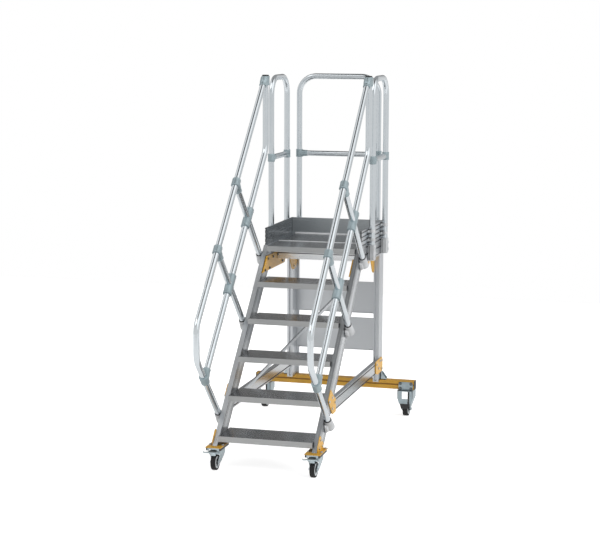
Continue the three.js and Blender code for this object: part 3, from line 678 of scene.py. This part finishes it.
# ---------------------------------------------------------------- posts, panels, base
def add_posts():
    lip_depth = 14
    cuts = {0: [(14, 5, 2), (58, 16, 3), (102, 5, 2)], 4: [(14, 4, 1.5), (70, 8, 2)],
            5: [(17, 17, 14)]}
    for name, side in SIDES:
        low, high = box_of(f"rear_post_{name}")
        front, back = low.y, high.y
        inner, lip, outer = side * POST_INNER_X, side * POST_LIP_X, side * OUTER_X
        corners = [(outer, front), (outer, back), (lip, back), (lip, back - lip_depth),
                   (inner, back - lip_depth), (inner, front)]
        shaft = prism(grooved(corners, cuts), CROSSBEAM[1].z + GAP, high.z, along_z)
        ear = prism(rectangle(*sorted((inner, outer)), front, CROSSBEAM[0].y - GAP), low.z,
                    CROSSBEAM[1].z + 1, along_z)
        build(f"rear_post_profile_{name}", [shaft, ear], frame_up,
              stands_for=[f"rear_post_{name}"], bevel=0.5)


def add_panels():
    """Sheets with folded edges."""
    fold, sheet = 5, 2.5
    for name in ("upper_panel", "lower_panel"):
        low, high = box_of(name)
        section = rectangle(low.y, high.y, low.z, high.z)
        section += [(low.y, high.z - fold), (low.y + sheet, high.z - fold - 2),
                    (low.y + sheet, low.z + fold + 2), (low.y, low.z + fold)]
        build(f"{name}_sheet", [prism(section, low.x, high.x, along_x)], panel_metal,
              stands_for=[name], bevel=0.4)


def add_base():
    slots = [(5, 6, 4), (66, 7, 4)]
    for name, side in SIDES:
        mitred_bar(f"base_rail_profile_{name}", f"base_rail_{name}", side,
                   {1: slots, 2: [(15, 4, 1.5)], 3: slots}, rail_painted_shade_metal, 0.5)
    beam = add_cross_piece("rear_crossbeam_profile", "rear_crossbeam",
                           {1: [(33, 9, 6)], 3: [(27, 9, 6)]}, yellow, 1.2)
    paint_slot_shade(beam, yellow_slot_painted_shade, 1, CROSSBEAM[0].y, CROSSBEAM[1].y, 7)
    for name, _ in SIDES:
        low, high = box_of(f"crossbeam_cap_{name}")
        plate = prism(rounded(low.y, high.y, low.z, high.z, 3), low.x, high.x, along_x)
        build(f"crossbeam_cap_moulding_{name}", [plate], black_plastic,
              stands_for=[f"crossbeam_cap_{name}"], bevel=1.5)


# ---------------------------------------------------------------- yellow plates and brackets
PLATE = 5  # thickness of the gussets


def add_plate(name, node, outline, radius, near, far, extra=()):
    shape = prism(softened(outline, radius), near, far, along_x)
    build(name, [shape, *extra], yellow, stands_for=[node], bevel=1)


def side_bolts(name, x, spots, hand, material=bolt_metal):
    """Bolts through a plate that faces sideways. Each spot is y and z."""
    bolts(name, [(x, y, z) for y, z in spots], (hand, 0, 0), 8, material)


def add_gussets():
    middle = BEAM[0].z
    low, high = middle - 50, middle + 50
    lead = STRINGER_FRONT + 8
    front = [(low + lead, low), (1460, low), (1500, middle), (1500, high), (high + lead, high)]
    front_spots = ((1061, 1164), (1178, 1163), (992, 1095), (1098, 1097), (1400, 1163),
                   (1400, 1105), (1290, 1163))
    flange = [(low + lead, low), (low + lead + 6, low), (high + lead + 6, high),
              (high + lead, high)]
    rear = [(1540, middle - 4), (1615, middle - 118), (1660, middle - 128), (1722, middle - 116),
            (1742, middle - 80), (1742, high), (1540, high)]
    rear_spots = ((1562, 1164), (1640, 1164), (1720, 1164), (1716, 1092), (1668, 1030),
                  (1630, 1098))
    for name, side in SIDES:
        hidden = side * (INNER_X - GAP)
        seen = side * (INNER_X - GAP - PLATE)
        add_plate(f"front_gusset_plate_{name}", f"front_gusset_{name}", front, 10, seen, hidden,
                  [prism(flange, side * (INNER_X - 11), hidden, along_x)])
        side_bolts(f"front_gusset_bolts_{name}", seen, front_spots, -side, bolt_dark)
        spacer = prism(rectangle(1541, 1741, middle, high - 1), side * 289, hidden, along_x)
        seen, behind = side * (POST_INNER_X - GAP - PLATE), side * (POST_INNER_X - GAP)
        add_plate(f"rear_gusset_plate_{name}", f"rear_gusset_{name}", rear, 12, seen, behind,
                  [spacer])
        side_bolts(f"rear_gusset_bolts_{name}", seen, rear_spots, -side)


def add_joint_plates():
    shoulder, drop = 412, 104
    front_spots = ((265, 406), (342, 416), (409, 372), (335, 348))
    rear = [(1545, 322), (1600, 304), (1750, 308), (1750, 392), (1725, 409), (1545, 405)]
    rear_spots = ((1571, 380), (1625, 345), (1666, 390), (1722, 385), (1722, 326))
    for name, side in SIDES:
        low, high = box_of(f"front_joint_plate_{name}")
        near, far = (high.x, low.x) if side < 0 else (low.x, high.x)
        front = [(shoulder + STRINGER_FRONT, shoulder),
                 (shoulder + STRINGER_FRONT + drop, shoulder - drop), (432, shoulder - drop),
                 (432, 390), (372, 424), (high.z + STRINGER_FRONT, high.z)]
        for end, outline, spots in (("front", front, front_spots), ("rear", rear, rear_spots)):
            add_plate(f"{end}_joint_cover_{name}", f"{end}_joint_plate_{name}", outline, 12, near,
                      far)
            side_bolts(f"{end}_joint_bolts_{name}", far, spots, side)


def add_corner_brackets():
    """Cast angles between the posts and the rear crossbeam, with a rib at each end."""
    for name, side in SIDES:
        low, high = box_of(f"corner_bracket_{name}")
        middle = (low.y + high.y) / 2

        def x_at(distance):
            return side * (OUTER_X + GAP) + side * distance

        shapes = [prism(rectangle(*sorted((x_at(0), x_at(40))), low.y, high.y), low.z, low.z + 6,
                        along_z),
                  prism(rectangle(*sorted((x_at(0), x_at(6))), low.y, high.y), low.z, high.z,
                        along_z)]
        rib = [(x_at(0), low.z), (x_at(40), low.z), (x_at(40), low.z + 8), (x_at(8), high.z),
               (x_at(0), high.z)]
        shapes += [prism(rib, y, y + 5, along_y) for y in (low.y, high.y - 5)]
        build(f"corner_bracket_casting_{name}", shapes, zinc,
              stands_for=[f"corner_bracket_{name}"], bevel=1)
        bolts(f"corner_bracket_bolts_{name}", [(x_at(26), middle, low.z + 6)], UP, 8, bolt_dark)
        side_bolts(f"corner_bracket_side_bolts_{name}", x_at(6), [(middle, low.z + 36)], side,
                   bolt_dark)


def add_brace():
    """A grooved bar across the back of the flight, with an eye at each end."""
    low, high = box_of("diagonal_brace")
    start, end = Vector((low.x, 523, 378)), Vector((high.x, 1165, 1066))
    grooves = [(9, 2, 1), (19, 2, 1)]
    section = grooved(rectangle(-8, 8, -14, 14), {1: grooves, 3: grooves})

    def place(u, v, w):
        return start + (end - start) * w + SLOPE * u - DOWNHILL * v

    lug = prism(rounded(1147, 1183, high.z - 80, BEAM[0].z - 8, 10), high.x - 6, high.x, along_x)
    foot = prism(rounded(500, 545, 345, 392, 10), low.x, low.x + 5, along_x)
    build("diagonal_brace_bar", [prism(section, 0, 1, place), lug, foot], frame_slope,
          stands_for=["diagonal_brace"])
    bolts("brace_top_bolt", [(high.x - 6, 1165, 1106)], -ACROSS)


# ---------------------------------------------------------------- handrails and their fittings
def meeting(side, line, total):
    """Where the rail or stringer at z - y = line meets the tube at z + y = total."""
    y = (total - line) / 2
    return Vector((side * RAIL_X, y, total - y))


def sleeve(centre, along, half=34, radius=SLEEVE_R, short=None):
    """A fitting's barrel with a rolled bead at each end. short is its lower end's reach."""
    low = half if short is None else short
    bead = radius + 0.8
    profile = [(0, -low), (radius - 1, -low), (bead, -low + 2), (bead, -low + 5),
               (radius, -low + 8), (radius, half - 8), (bead, half - 5), (bead, half - 2),
               (radius - 1, half), (0, half)]
    return turned(profile, centre, along, 40)


def branch(centre, towards, length=74, radius=24):
    """A fitting's tapering arm with a rolled bead at its end."""
    bead = radius + 1.2
    profile = [(0, 0), (radius + 4, 0), (radius + 2.5, 34), (radius, 48), (radius, length - 7),
               (bead, length - 5), (bead, length - 2), (radius - 1, length), (0, length)]
    return turned(profile, centre, towards, 40)


def grub_screws(name, spots, size=4.5):
    profile = [(0, 0), (size * 1.2, 0), (size * 1.2, 1.2), (size, 1.2), (size * 0.9, size * 0.5),
               (size * 0.45, size * 0.75), (0, size * 0.8)]
    build(name, [turned(profile, spot, ACROSS, 18) for spot in spots], bolt_metal, bevel=0)


def socket(name, side, total):
    """The cup and bush round the foot of a tube, on a lobed boss bolted to the stringer."""
    middle = meeting(side, SOCKET_LINE, total)
    cup = [(0, -46), (21.5, -46), (24.5, -44), (25, -38), (26, -20), (29, 14), (31, 34), (31, 37),
           (29, 39), (0, 39)]
    casting(f"{name}_cup", [turned(cup, middle, DOWNHILL, 44)], socket_metal)
    bush = rectangle(TUBE_R + 0.2, 23, -48, -44)
    build(f"{name}_bush", [turned(bush, middle, DOWNHILL, 44)], black_plastic, bevel=0)
    base = Vector((side * (OUTER_X + 0.4), middle.y - 7, middle.z - 20))
    lobes = [rod(base, base + ACROSS * side * 24, 31, 29, edge=5)]
    for turn in (35, 155, 275):
        away = Vector((0, math.cos(math.radians(turn)), math.sin(math.radians(turn)))) * 25
        lobes.append(rod(base + away, base + away + ACROSS * side * 11, 12, 10.5, edge=2))
    casting(f"{name}_boss", lobes, socket_metal)


def add_handrails():
    for name, side in SIDES:
        def rail_point(y, z):
            return Vector((side * RAIL_X, y, z))

        end_y = RAIL_TOP_Y - 20
        corners = [rail_point(end_y, end_y + UPPER_LINE),
                   rail_point(RAIL_FRONT_Y, RAIL_FRONT_Y + UPPER_LINE),
                   rail_point(RAIL_FRONT_Y, LEG_SUM - RAIL_FRONT_Y),
                   meeting(side, SOCKET_LINE, LEG_SUM)]
        build(f"handrail_tube_{name}", [tube(corners)], tube_metal,
              stands_for=[f"handrail_{name}"], bevel=0)
        leg = meeting(side, KNEE_LINE, LEG_SUM)
        corners = [rail_point(RAIL_TOP_Y, RAIL_TOP_Z - 7),
                   rail_point(RAIL_TOP_Y, RAIL_TOP_Y + KNEE_LINE), leg]
        build(f"knee_rail_tube_{name}", [tube(corners)], tube_metal,
              stands_for=[f"knee_rail_{name}"], bevel=0)

        elbow = rail_point(RAIL_TOP_Y, RAIL_TOP_Y + UPPER_LINE - 22)
        rail_end = rail_point(RAIL_TOP_Y - 18, RAIL_TOP_Y - 18 + UPPER_LINE)
        casting(f"top_elbow_{name}",
                [sleeve(elbow, UP, 22, short=40), branch(rail_end, -SLOPE, 66)])
        cap_z = elbow.z + 22
        cap = RAIL_TOP_Z - cap_z
        dome = [(0, -3), (22, -3), (22.5, 0), (22.5, cap - 3), (20, cap - 0.8), (0, cap)]
        build(f"rail_cap_{name}", [turned(dome, rail_point(RAIL_TOP_Y, cap_z), UP, 40)],
              black_plastic, bevel=0)
        casting(f"leg_fitting_{name}", [sleeve(leg, DOWNHILL), branch(leg, SLOPE)])
        grub_screws(f"leg_screw_{name}", [leg + ACROSS * SLEEVE_R + DOWNHILL * 17])
        for level, total in STRUT_SUMS:
            top, cross, foot = (meeting(side, line, total)
                                for line in (UPPER_LINE, KNEE_LINE, SOCKET_LINE))
            build(f"{level}_strut_tube_{name}", [tube([top, foot])], tube_metal,
                  stands_for=[f"{level}_strut_{name}"], bevel=0)
            casting(f"{level}_tee_{name}", [sleeve(top, SLOPE, short=20), branch(top, DOWNHILL)])
            casting(f"{level}_cross_{name}", [sleeve(cross, SLOPE, 74, 28)])
            screws = [top + ACROSS * SLEEVE_R + SLOPE * 16,
                      *(cross + ACROSS * 28 + SLOPE * reach for reach in (-52, 52))]
            grub_screws(f"{level}_screws_{name}", screws)
            socket(f"{level}_socket_{name}", side, total)
        socket(f"leg_socket_{name}", side, LEG_SUM)


# ---------------------------------------------------------------- guard hoops
def knee_fitting(name, leg, towards):
    taper = [(0, 0), (24, 0), (23, 26), (20.6, 60), (18, 61), (0, 61)]
    casting(name, [sleeve(leg, UP, 27, 23.4), turned(taper, leg, towards, 36)])


def strap(name, centre, outward, along, reach):
    """A band round a leg with a flange either side, bolted to the board at reach behind it."""
    near, far = TUBE_R - 6, TUBE_R + 20
    band = [(TUBE_R - 0.5, -10), (TUBE_R + 1, -10), (TUBE_R + 1.6, -8), (TUBE_R + 1.6, 8),
            (TUBE_R + 1, 10), (TUBE_R - 0.5, 10)]
    shapes, heads = [turned(band, centre, UP, 36)], []
    for hand in (-1, 1):
        corners = [centre + along * hand * a - outward * b + UP * c for c in (-9, 9)
                   for a, b in ((near, reach), (far, reach), (far, reach - 3), (near, reach - 3))]
        shapes.append((corners, BOX_FACES))
        heads.append(centre + along * hand * (TUBE_R + 11) - outward * (reach - 3))
    build(f"{name}_band", shapes, socket_metal)
    bolts(f"{name}_bolts", heads, outward, 6)


def add_hoop(name, corners, knee_ends, normal, material):
    """A bent tube with a bar across it at knee height, where a darker aluminium is painted shade.
    """
    hoop = build(f"guard_tube_{name}", [tube(corners, normal), rod(*knee_ends, BAR_R)], material,
                 stands_for=[f"guard_hoop_{name}"], bevel=0)
    refinish(hoop, bar_painted_shade_metal, lambda face: abs(face.center.z * MM - GUARD_KNEE) < 20)


def hoop_holder(name, side, y):
    """The block on the side beam that a hoop's leg stands in."""
    inner, outer = side * (OUTER_X + 0.4), side * (RAIL_X + 21.5)
    bottom, top = BEAM[0].z + 11, BEAM[0].z + 111
    outline = rounded(*sorted((inner, outer)), y - 34, y + 23, 5)
    build(f"hoop_holder_{name}", [prism(outline, bottom, top, along_z)], socket_metal, bevel=2)
    outline = rectangle(*sorted((inner + side * 9, inner + side * 12)), y - 35, y + 24)
    build(f"hoop_holder_seam_{name}", [prism(outline, bottom + 1, top - 1, along_z)],
          black_plastic, bevel=0)
    spots = [(y, bottom + 25), (y, bottom + 72)]
    bolts(f"hoop_holder_bolts_{name}", [(outer, *spot) for spot in spots], (side, 0, 0), 6.5)


def add_hoops():
    front, rear = HOOP_Y
    low = BEAM[0].z + 6
    for name, side in SIDES:
        x = side * RAIL_X
        add_hoop(name, [(x, front, low), (x, front, GUARD_TOP), (x, rear, GUARD_TOP),
                        (x, rear, low)],
                 [(x, front + 15, GUARD_KNEE), (x, rear - 15, GUARD_KNEE)], ACROSS, tube_metal)
        knee_fitting(f"guard_knee_front_{name}", Vector((x, front, GUARD_KNEE)), CLIMB)
        knee_fitting(f"guard_knee_rear_{name}", Vector((x, rear, GUARD_KNEE)), -CLIMB)
        for end, y in (("front", front), ("rear", rear)):
            hoop_holder(f"{end}_{name}", side, y)
            for row, z in enumerate((DECK_Z + 32, DECK_Z + 90)):
                strap(f"hoop_strap_{end}_{row}_{name}", Vector((x, y, z)), ACROSS * side, CLIMB,
                      RAIL_X - OUTER_X - GAP)
    low, x, y = BEAM[0].z + 20, BACK_HOOP_X, BACK_HOOP_Y
    add_hoop("back", [(-x, y, low), (-x, y, GUARD_TOP), (x, y, GUARD_TOP), (x, y, low)],
             [(15 - x, y, GUARD_KNEE), (x - 15, y, GUARD_KNEE)], CLIMB, back_tube_painted_shade_metal)
    for name, side in SIDES:
        knee_fitting(f"guard_knee_back_{name}", Vector((side * x, y, GUARD_KNEE)), ACROSS * -side)
        for row, z in enumerate((BEAM[0].z + 40, DECK_Z + 60)):
            strap(f"back_strap_{row}_{name}", Vector((side * x, y, z)), CLIMB, ACROSS,
                  y - BEAM[1].y - GAP)


# ---------------------------------------------------------------- casters
def mirror_profile(profile):
    """A profile of radius and height with its mirror image beyond it."""
    return profile + [(radius, -height) for radius, height in reversed(profile)]


def add_wheel(name, width, hub_width):
    low, high = box_of(name)
    origin = Vector(((low.x + high.x) / 2, (low.y + high.y) / 2, WHEEL_R))
    half, hub = width / 2, hub_width / 2
    groove = -half / 3
    tyre = [(36, -half + 5), (43, -half + 2), (47.5, -half + 2), (WHEEL_R - 0.8, -half + 4),
            (WHEEL_R, -half + 7), (WHEEL_R, groove - 1.4), (WHEEL_R - 1.4, groove - 0.8),
            (WHEEL_R - 1.4, groove + 0.8), (WHEEL_R, groove + 1.4)]
    build(f"{name}_tyre", [turned(mirror_profile(tyre), origin, ACROSS, 64)], tyre_rubber, name,
          [name], bevel=0)
    rim = [(27, -half + 6), (28.5, -half + 2), (36, -half + 1), (38.5, -half + 3)]
    build(f"{name}_rim", [turned(mirror_profile(rim), origin, ACROSS, 56)], rim_plastic, name,
          bevel=0)
    core = [(0, -hub), (11, -hub), (13, -hub + 1.5), (14.5, -half + 5), (16, -half + 8),
            (27.5, -half + 10)]
    shapes = [turned(mirror_profile(core), origin, ACROSS, 40)]
    for spoke in range(6):
        angle = math.radians(60 * spoke)
        out = Vector((0, math.cos(angle), math.sin(angle)))
        across = Vector((0, -out.z, out.y))
        corners = [origin + ACROSS * w + out * r + across * t for w in (-half + 7, half - 7)
                   for r, t in ((13, -2.5), (27.2, -2), (27.2, 2), (13, 2.5))]
        shapes.append((corners, BOX_FACES))
    build(f"{name}_hub", shapes, black_plastic, name, bevel=0.6)


def axle(name, centre, y, reach, size, radius, body="frame"):
    """An axle through a wheel's middle with a nut at each end."""
    middle = Vector((centre, y, WHEEL_R))
    nuts = [shape for hand in (1, -1)
            for shape in hex_bolt(middle + ACROSS * hand * reach, ACROSS * hand, size)]
    pin = rod(middle - ACROSS * (reach - 1), middle + ACROSS * (reach - 1), radius)
    build(name, [*nuts, pin], bolt_metal, body, bevel=0.3)


def add_foot_plate(name, side, centre):
    """The yellow plate over a front caster, with a tab up the stringer and a pad round it."""
    low, high = box_of(f"foot_plate_{name}")
    top = 150
    near, far = side * (OUTER_X + GAP), side * (OUTER_X + GAP + PLATE)
    tab = [(-5, 146), (132, 146), (132, 176), (96, 208), (72, 232), (58, high.z), (46, 236),
           (-5, 180)]
    shapes = [prism(rounded(centre - 50, centre + 50, low.y, high.y, 4), top - 5, top, along_z),
              prism(softened(tab, 7), near, far, along_x)]
    build(f"foot_plate_steel_{name}", shapes, yellow, stands_for=[f"foot_plate_{name}"], bevel=1)
    spots = [(x, y, top) for x in (centre - side * 39, centre + side * 40) for y in (16, 110)]
    bolts(f"foot_plate_bolts_{name}", spots, UP, 8)
    bolts(f"foot_tab_bolts_{name}", [(far, 62, 212), (far, 100, 168), (far, 30, 168)],
          (side, 0, 0))
    low, high = box_of(f"foot_pad_{name}")
    left, right = centre - 38, centre + 38
    rim = [(low.x, low.y), (left, low.y), (left, 68), (right, 68), (right, low.y),
           (high.x, low.y), (high.x, high.y), (low.x, high.y)]
    sole = rounded(low.x + 1, high.x - 1, -18, high.y - 1, 8)
    build(f"foot_pad_rubber_{name}",
          [prism(rim, 129, high.z, along_z), prism(sole, 138, high.z, along_z)], black_plastic,
          stands_for=[f"foot_pad_{name}"], bevel=1)
    cover = [(left + 0.4, high.z), (left + 0.4, 127), (left + 12, 127), (left + 12, 136),
             (right - 16, 136), (right - 16, 127), (right - 0.4, 127), (right - 0.4, high.z)]
    build(f"caster_head_cover_{name}", [prism(cover, low.y + 1, low.y + 4, along_y)], zinc)


def cheek(centre, hand, levels, thick=4):
    """One side of a fork. levels, from the top, are rows of height, front, back and distance of
    the outer face from the middle."""
    points, faces = [], []
    for z, front, back, out in levels:
        for x, y in ((out, front), (out, back), (out - thick, back), (out - thick, front)):
            points.append((centre + hand * x, y, z))
    last = 4 * (len(levels) - 1)
    for i in range(0, last, 4):
        for k in range(4):
            n = (k + 1) % 4
            faces.append((i + k, i + n, i + 4 + n, i + 4 + k))
    return points, faces + [(0, 1, 2, 3), tuple(last + k for k in range(4))]


def round_end(top, front, back, axle_y, out, radius=14, steps=6):
    """The lowest levels of a cheek, which runs in from a height to a round end about the axle."""
    levels = [(top, front, back, out)]
    for k in range(steps + 1):
        angle = math.radians(10 + 76 * k / steps)
        half = radius * math.cos(angle)
        levels.append((WHEEL_R - radius * math.sin(angle), axle_y - half, axle_y + half, out))
    return levels


def add_front_fork(name, centre):
    body = f"caster_{name}"
    crown = prism(rounded(centre - 34, centre + 34, -30, 80, 10), 113, 120, along_z)
    levels = [(117, -32, 78, 35), (112, -32, 82, 35), (101, -32, 82, 34.5), (93, -12, 82, 33),
              (76, -15, 79, 28.5), (62, -25, 66, 25), (50, -27, 44, 25), (42, -25, 24, 25),
              (37, -19, 6, 25), (35.2, -14, -4, 25)]
    shapes = [crown, *(cheek(centre, hand, levels, 3.6) for hand in (-1, 1))]
    build(f"front_fork_steel_{name}", shapes, zinc, body, [f"front_fork_{name}"], bevel=1)
    race = [(0, 0), (35, 0), (36, 1.5), (36, 4), (33.5, 6), (32, 6.5), (32, 8), (34, 8.5),
            (35, 10), (35, 12), (31.5, 16.5), (0, 16.5)]
    build(f"swivel_race_{name}", [turned(race, (centre, SWIVEL_Y, 119.5), UP, 56)], zinc, body,
          bevel=0)
    axle(f"front_axle_nuts_{name}", centre, FRONT_AXLE_Y, 25, 8, 5.5, body)
    pivot = Vector((centre, *PEDAL_PIVOT))
    pins = [rod(pivot + ACROSS * hand * 25, pivot + ACROSS * hand * 36, 3.4, edge=0.6)
            for hand in (-1, 1)]
    build(f"pedal_pins_{name}", pins, bolt_metal, body, bevel=0)


def add_brake_pedal(name, centre):
    shelf = [(30, -34), (-30, -34), (-30, -66), (-52, -84), (-49, -92), (-20, -84), (30, -74)]
    ear = [(-60, 125), (-60, 119), (-27, 105), (-20, 102), (-14, 105), (-12, 110), (-16, 116),
           (-34, 125)]
    lip = [(-52, 124), (-52, 131.5), (-49.5, 131.5), (-45, 126), (-38, 124)]
    shapes = [prism(softened(shifted(shelf, centre), 5), 121, 125, along_z),
              *(prism(softened(ear, 3), centre + hand * 26, centre + hand * 30, along_x)
                for hand in (-1, 1)),
              prism(rounded(centre - 30, centre + 30, 104, 125, 3), -37, -34, along_y),
              prism(rounded(centre - 14, centre + 14, -52, -41, 2), 97, 122, along_z),
              prism(shifted(lip, centre), -91, -83, along_y)]
    pedal = f"brake_pedal_{name}"
    build(f"brake_pedal_steel_{name}", shapes, zinc, pedal, [pedal])


def add_rear_fork(name, centre):
    """A fixed fork with a plate under the crossbeam and another against its front face."""
    front, back, top = 1670, 1784, CROSSBEAM[0].z - GAP
    levels = [(top - 1, front, back, 54), (132, front, back - 4, 54),
              (95, front + 10, back - 18, 42),
              *round_end(62, REAR_AXLE_Y - 26, REAR_AXLE_Y + 28, REAR_AXLE_Y, 31)]
    web = [(-54, top), (54, top), (54, 132), (42, 94), (31, 94), (31, top - 10), (-22, top - 10),
           (-22, 128), (18, 128), (18, 94), (-42, 94), (-54, 132)]
    wall = CROSSBEAM[0].y - GAP
    upright = [(u, max(v, top - 6)) for u, v in
               rounded(centre - 50, centre + 50, top - 6, CROSSBEAM[1].z - 6, 12)]
    shapes = [prism(rounded(centre - 54, centre + 54, front, back, 3), top - 6, top, along_z),
              *(cheek(centre, hand, levels) for hand in (-1, 1)),
              prism(shifted(web, centre), front, front + 4, along_y),
              prism(upright, wall - 5, wall, along_y)]
    build(f"rear_fork_steel_{name}", shapes, zinc_shaded, stands_for=[f"rear_fork_{name}"],
          bevel=1)
    # painted shade: black sheets inside the fork, round the top of the wheel, stand in for the
    # shade there
    painted_shade_outline = [(19, top - 8), (30.5, top - 8), (30.5, 96), (27, 60), (-27, 60), (-38, 96), (19, 96)]
    build(f"rear_wheel_guard_{name}",
          [prism(shifted(painted_shade_outline, centre), front + 0.5, front + 3.5, along_y)], black_plastic,
          bevel=0.5)
    spots = [(centre + dx, wall - 5, z) for dx in (-38, 38) for z in (198, 232)]
    bolts(f"rear_fork_bolts_{name}", spots, -CLIMB, 9, bolt_dark)
    axle(f"rear_axle_nuts_{name}", centre, REAR_AXLE_Y, 31, 9, 6)


def add_casters():
    for name, side in SIDES:
        wheel = f"front_wheel_{name}"
        centre = middle_of(wheel, 0)
        add_foot_plate(name, side, centre)
        add_front_fork(name, centre)
        add_brake_pedal(name, centre)
        add_wheel(wheel, 35, 40)
        wheel = f"rear_wheel_{name}"
        add_rear_fork(name, middle_of(wheel, 0))
        add_wheel(wheel, 40, 50)


add_stringers()
add_treads()
add_platform()
add_gussets()
add_posts()
add_panels()
add_base()
add_joint_plates()
add_corner_brackets()
add_brace()
add_handrails()
add_hoops()
add_casters()


# ---------------------------------------------------------------- stage
def add_floor():
    """A pale floor that glows, and more brightly to the camera than to the ladder."""
    half = 6
    mesh = bpy.data.meshes.new("floor")
    corners = [(x, y, 0) for x, y in rectangle(-half, half, -half, half)]
    mesh.from_pydata(corners, [], [(0, 1, 2, 3)])
    material = bpy.data.materials.new("pale_floor")
    graph = Graph(material)
    camera_ray = graph.add("LightPath", {}, "Is Camera Ray")
    graph.feed(graph.tree.nodes["Principled BSDF"], {
        "Base Color": (0.62, 0.62, 0.62, 1), "Roughness": 0.9, "Specular IOR Level": 0.1,
        "Emission Color": (1, 1, 1, 1),
        "Emission Strength": graph.ramp(camera_ray, 0.3, 0.7, 0, 1)})
    mesh.materials.append(material)
    floor = bpy.data.objects.new("floor", mesh)
    bpy.context.scene.collection.objects.link(floor)


def add_world():
    """A white studio: bright side walls, a darker back, and two long overhead panels with a dark
    gap between them."""
    world = bpy.data.worlds.new("studio")
    bpy.context.scene.world = world
    graph = Graph(world)
    x, y, z = graph.axes(graph.where("Generated"))

    def fade(value, start, end, low, high):
        return graph.ramp(value, low, high, start, end, "SMOOTHSTEP")

    def distance(value, middle):
        return graph.maths("ABSOLUTE", graph.maths("ADD", value, -middle))

    def blend(share, first, second):
        """first, tending to second as share goes to 1."""
        rest = graph.maths("MULTIPLY", first, graph.maths("SUBTRACT", 1, share))
        return graph.maths("ADD", rest, graph.maths("MULTIPLY", second, share))

    walls = graph.maths("MAXIMUM", fade(y, 0.2, 0.9, 0.74, 0.25),
                        fade(distance(x, -0.26), 0.2, 0.4, 0, 0.68))
    horizon = blend(fade(z, -0.03, 0.05, 0, 1), 0.75, walls)
    gap = fade(distance(x, -0.17), 0.16, 0.36, 0.04, 1.0)
    panels = blend(fade(y, 0.2, 0.45, 0, 1), graph.maths("MULTIPLY", gap, 0.95), 0.36)
    light = blend(fade(z, 0.4, 0.6, 0, 1), horizon, panels)
    camera_ray = graph.add("LightPath", {}, "Is Camera Ray")
    strength = graph.add("Mix", {"Factor": camera_ray, "A": light, "B": 1.0}, "Result")
    graph.feed(graph.tree.nodes["Background"], {"Color": (1, 1, 1, 1), "Strength": strength})


def add_lights():
    for name, energy, angle, turn, glossy in (("key", 0.45, 35, (38, 0, -35), True),
                                              ("fill", 0.25, 60, (50, 0, 60), True),
                                              ("side", 2.5, 50, (0, 68, -12), False)):
        light = bpy.data.lights.new(name, "SUN")
        light.energy = energy
        light.angle = math.radians(angle)
        lamp = bpy.data.objects.new(name, light)
        lamp.rotation_euler = [math.radians(a) for a in turn]
        lamp.visible_glossy = glossy
        bpy.context.scene.collection.objects.link(lamp)


def add_camera():
    camera = bpy.data.cameras.new("camera")
    camera.sensor_width = 36
    camera.lens = 101.4
    camera.clip_end = 200
    holder = bpy.data.objects.new("camera", camera)
    heading, tilt, roll = (Matrix.Rotation(math.radians(angle), 4, axis)
                           for angle, axis in ((15.51, "Z"), (90 - 8.43, "X"), (0.15, "Z")))
    place = Matrix.Translation((2.879, (-9582 + NOSE_Y) / MM, 2.733))
    holder.matrix_world = place @ (heading @ tilt @ roll)
    bpy.context.scene.collection.objects.link(holder)
    bpy.context.scene.camera = holder


add_floor()
add_world()
add_lights()
add_camera()
bpy.context.scene.view_settings.view_transform = "Standard"

bpy.context.view_layer.update()
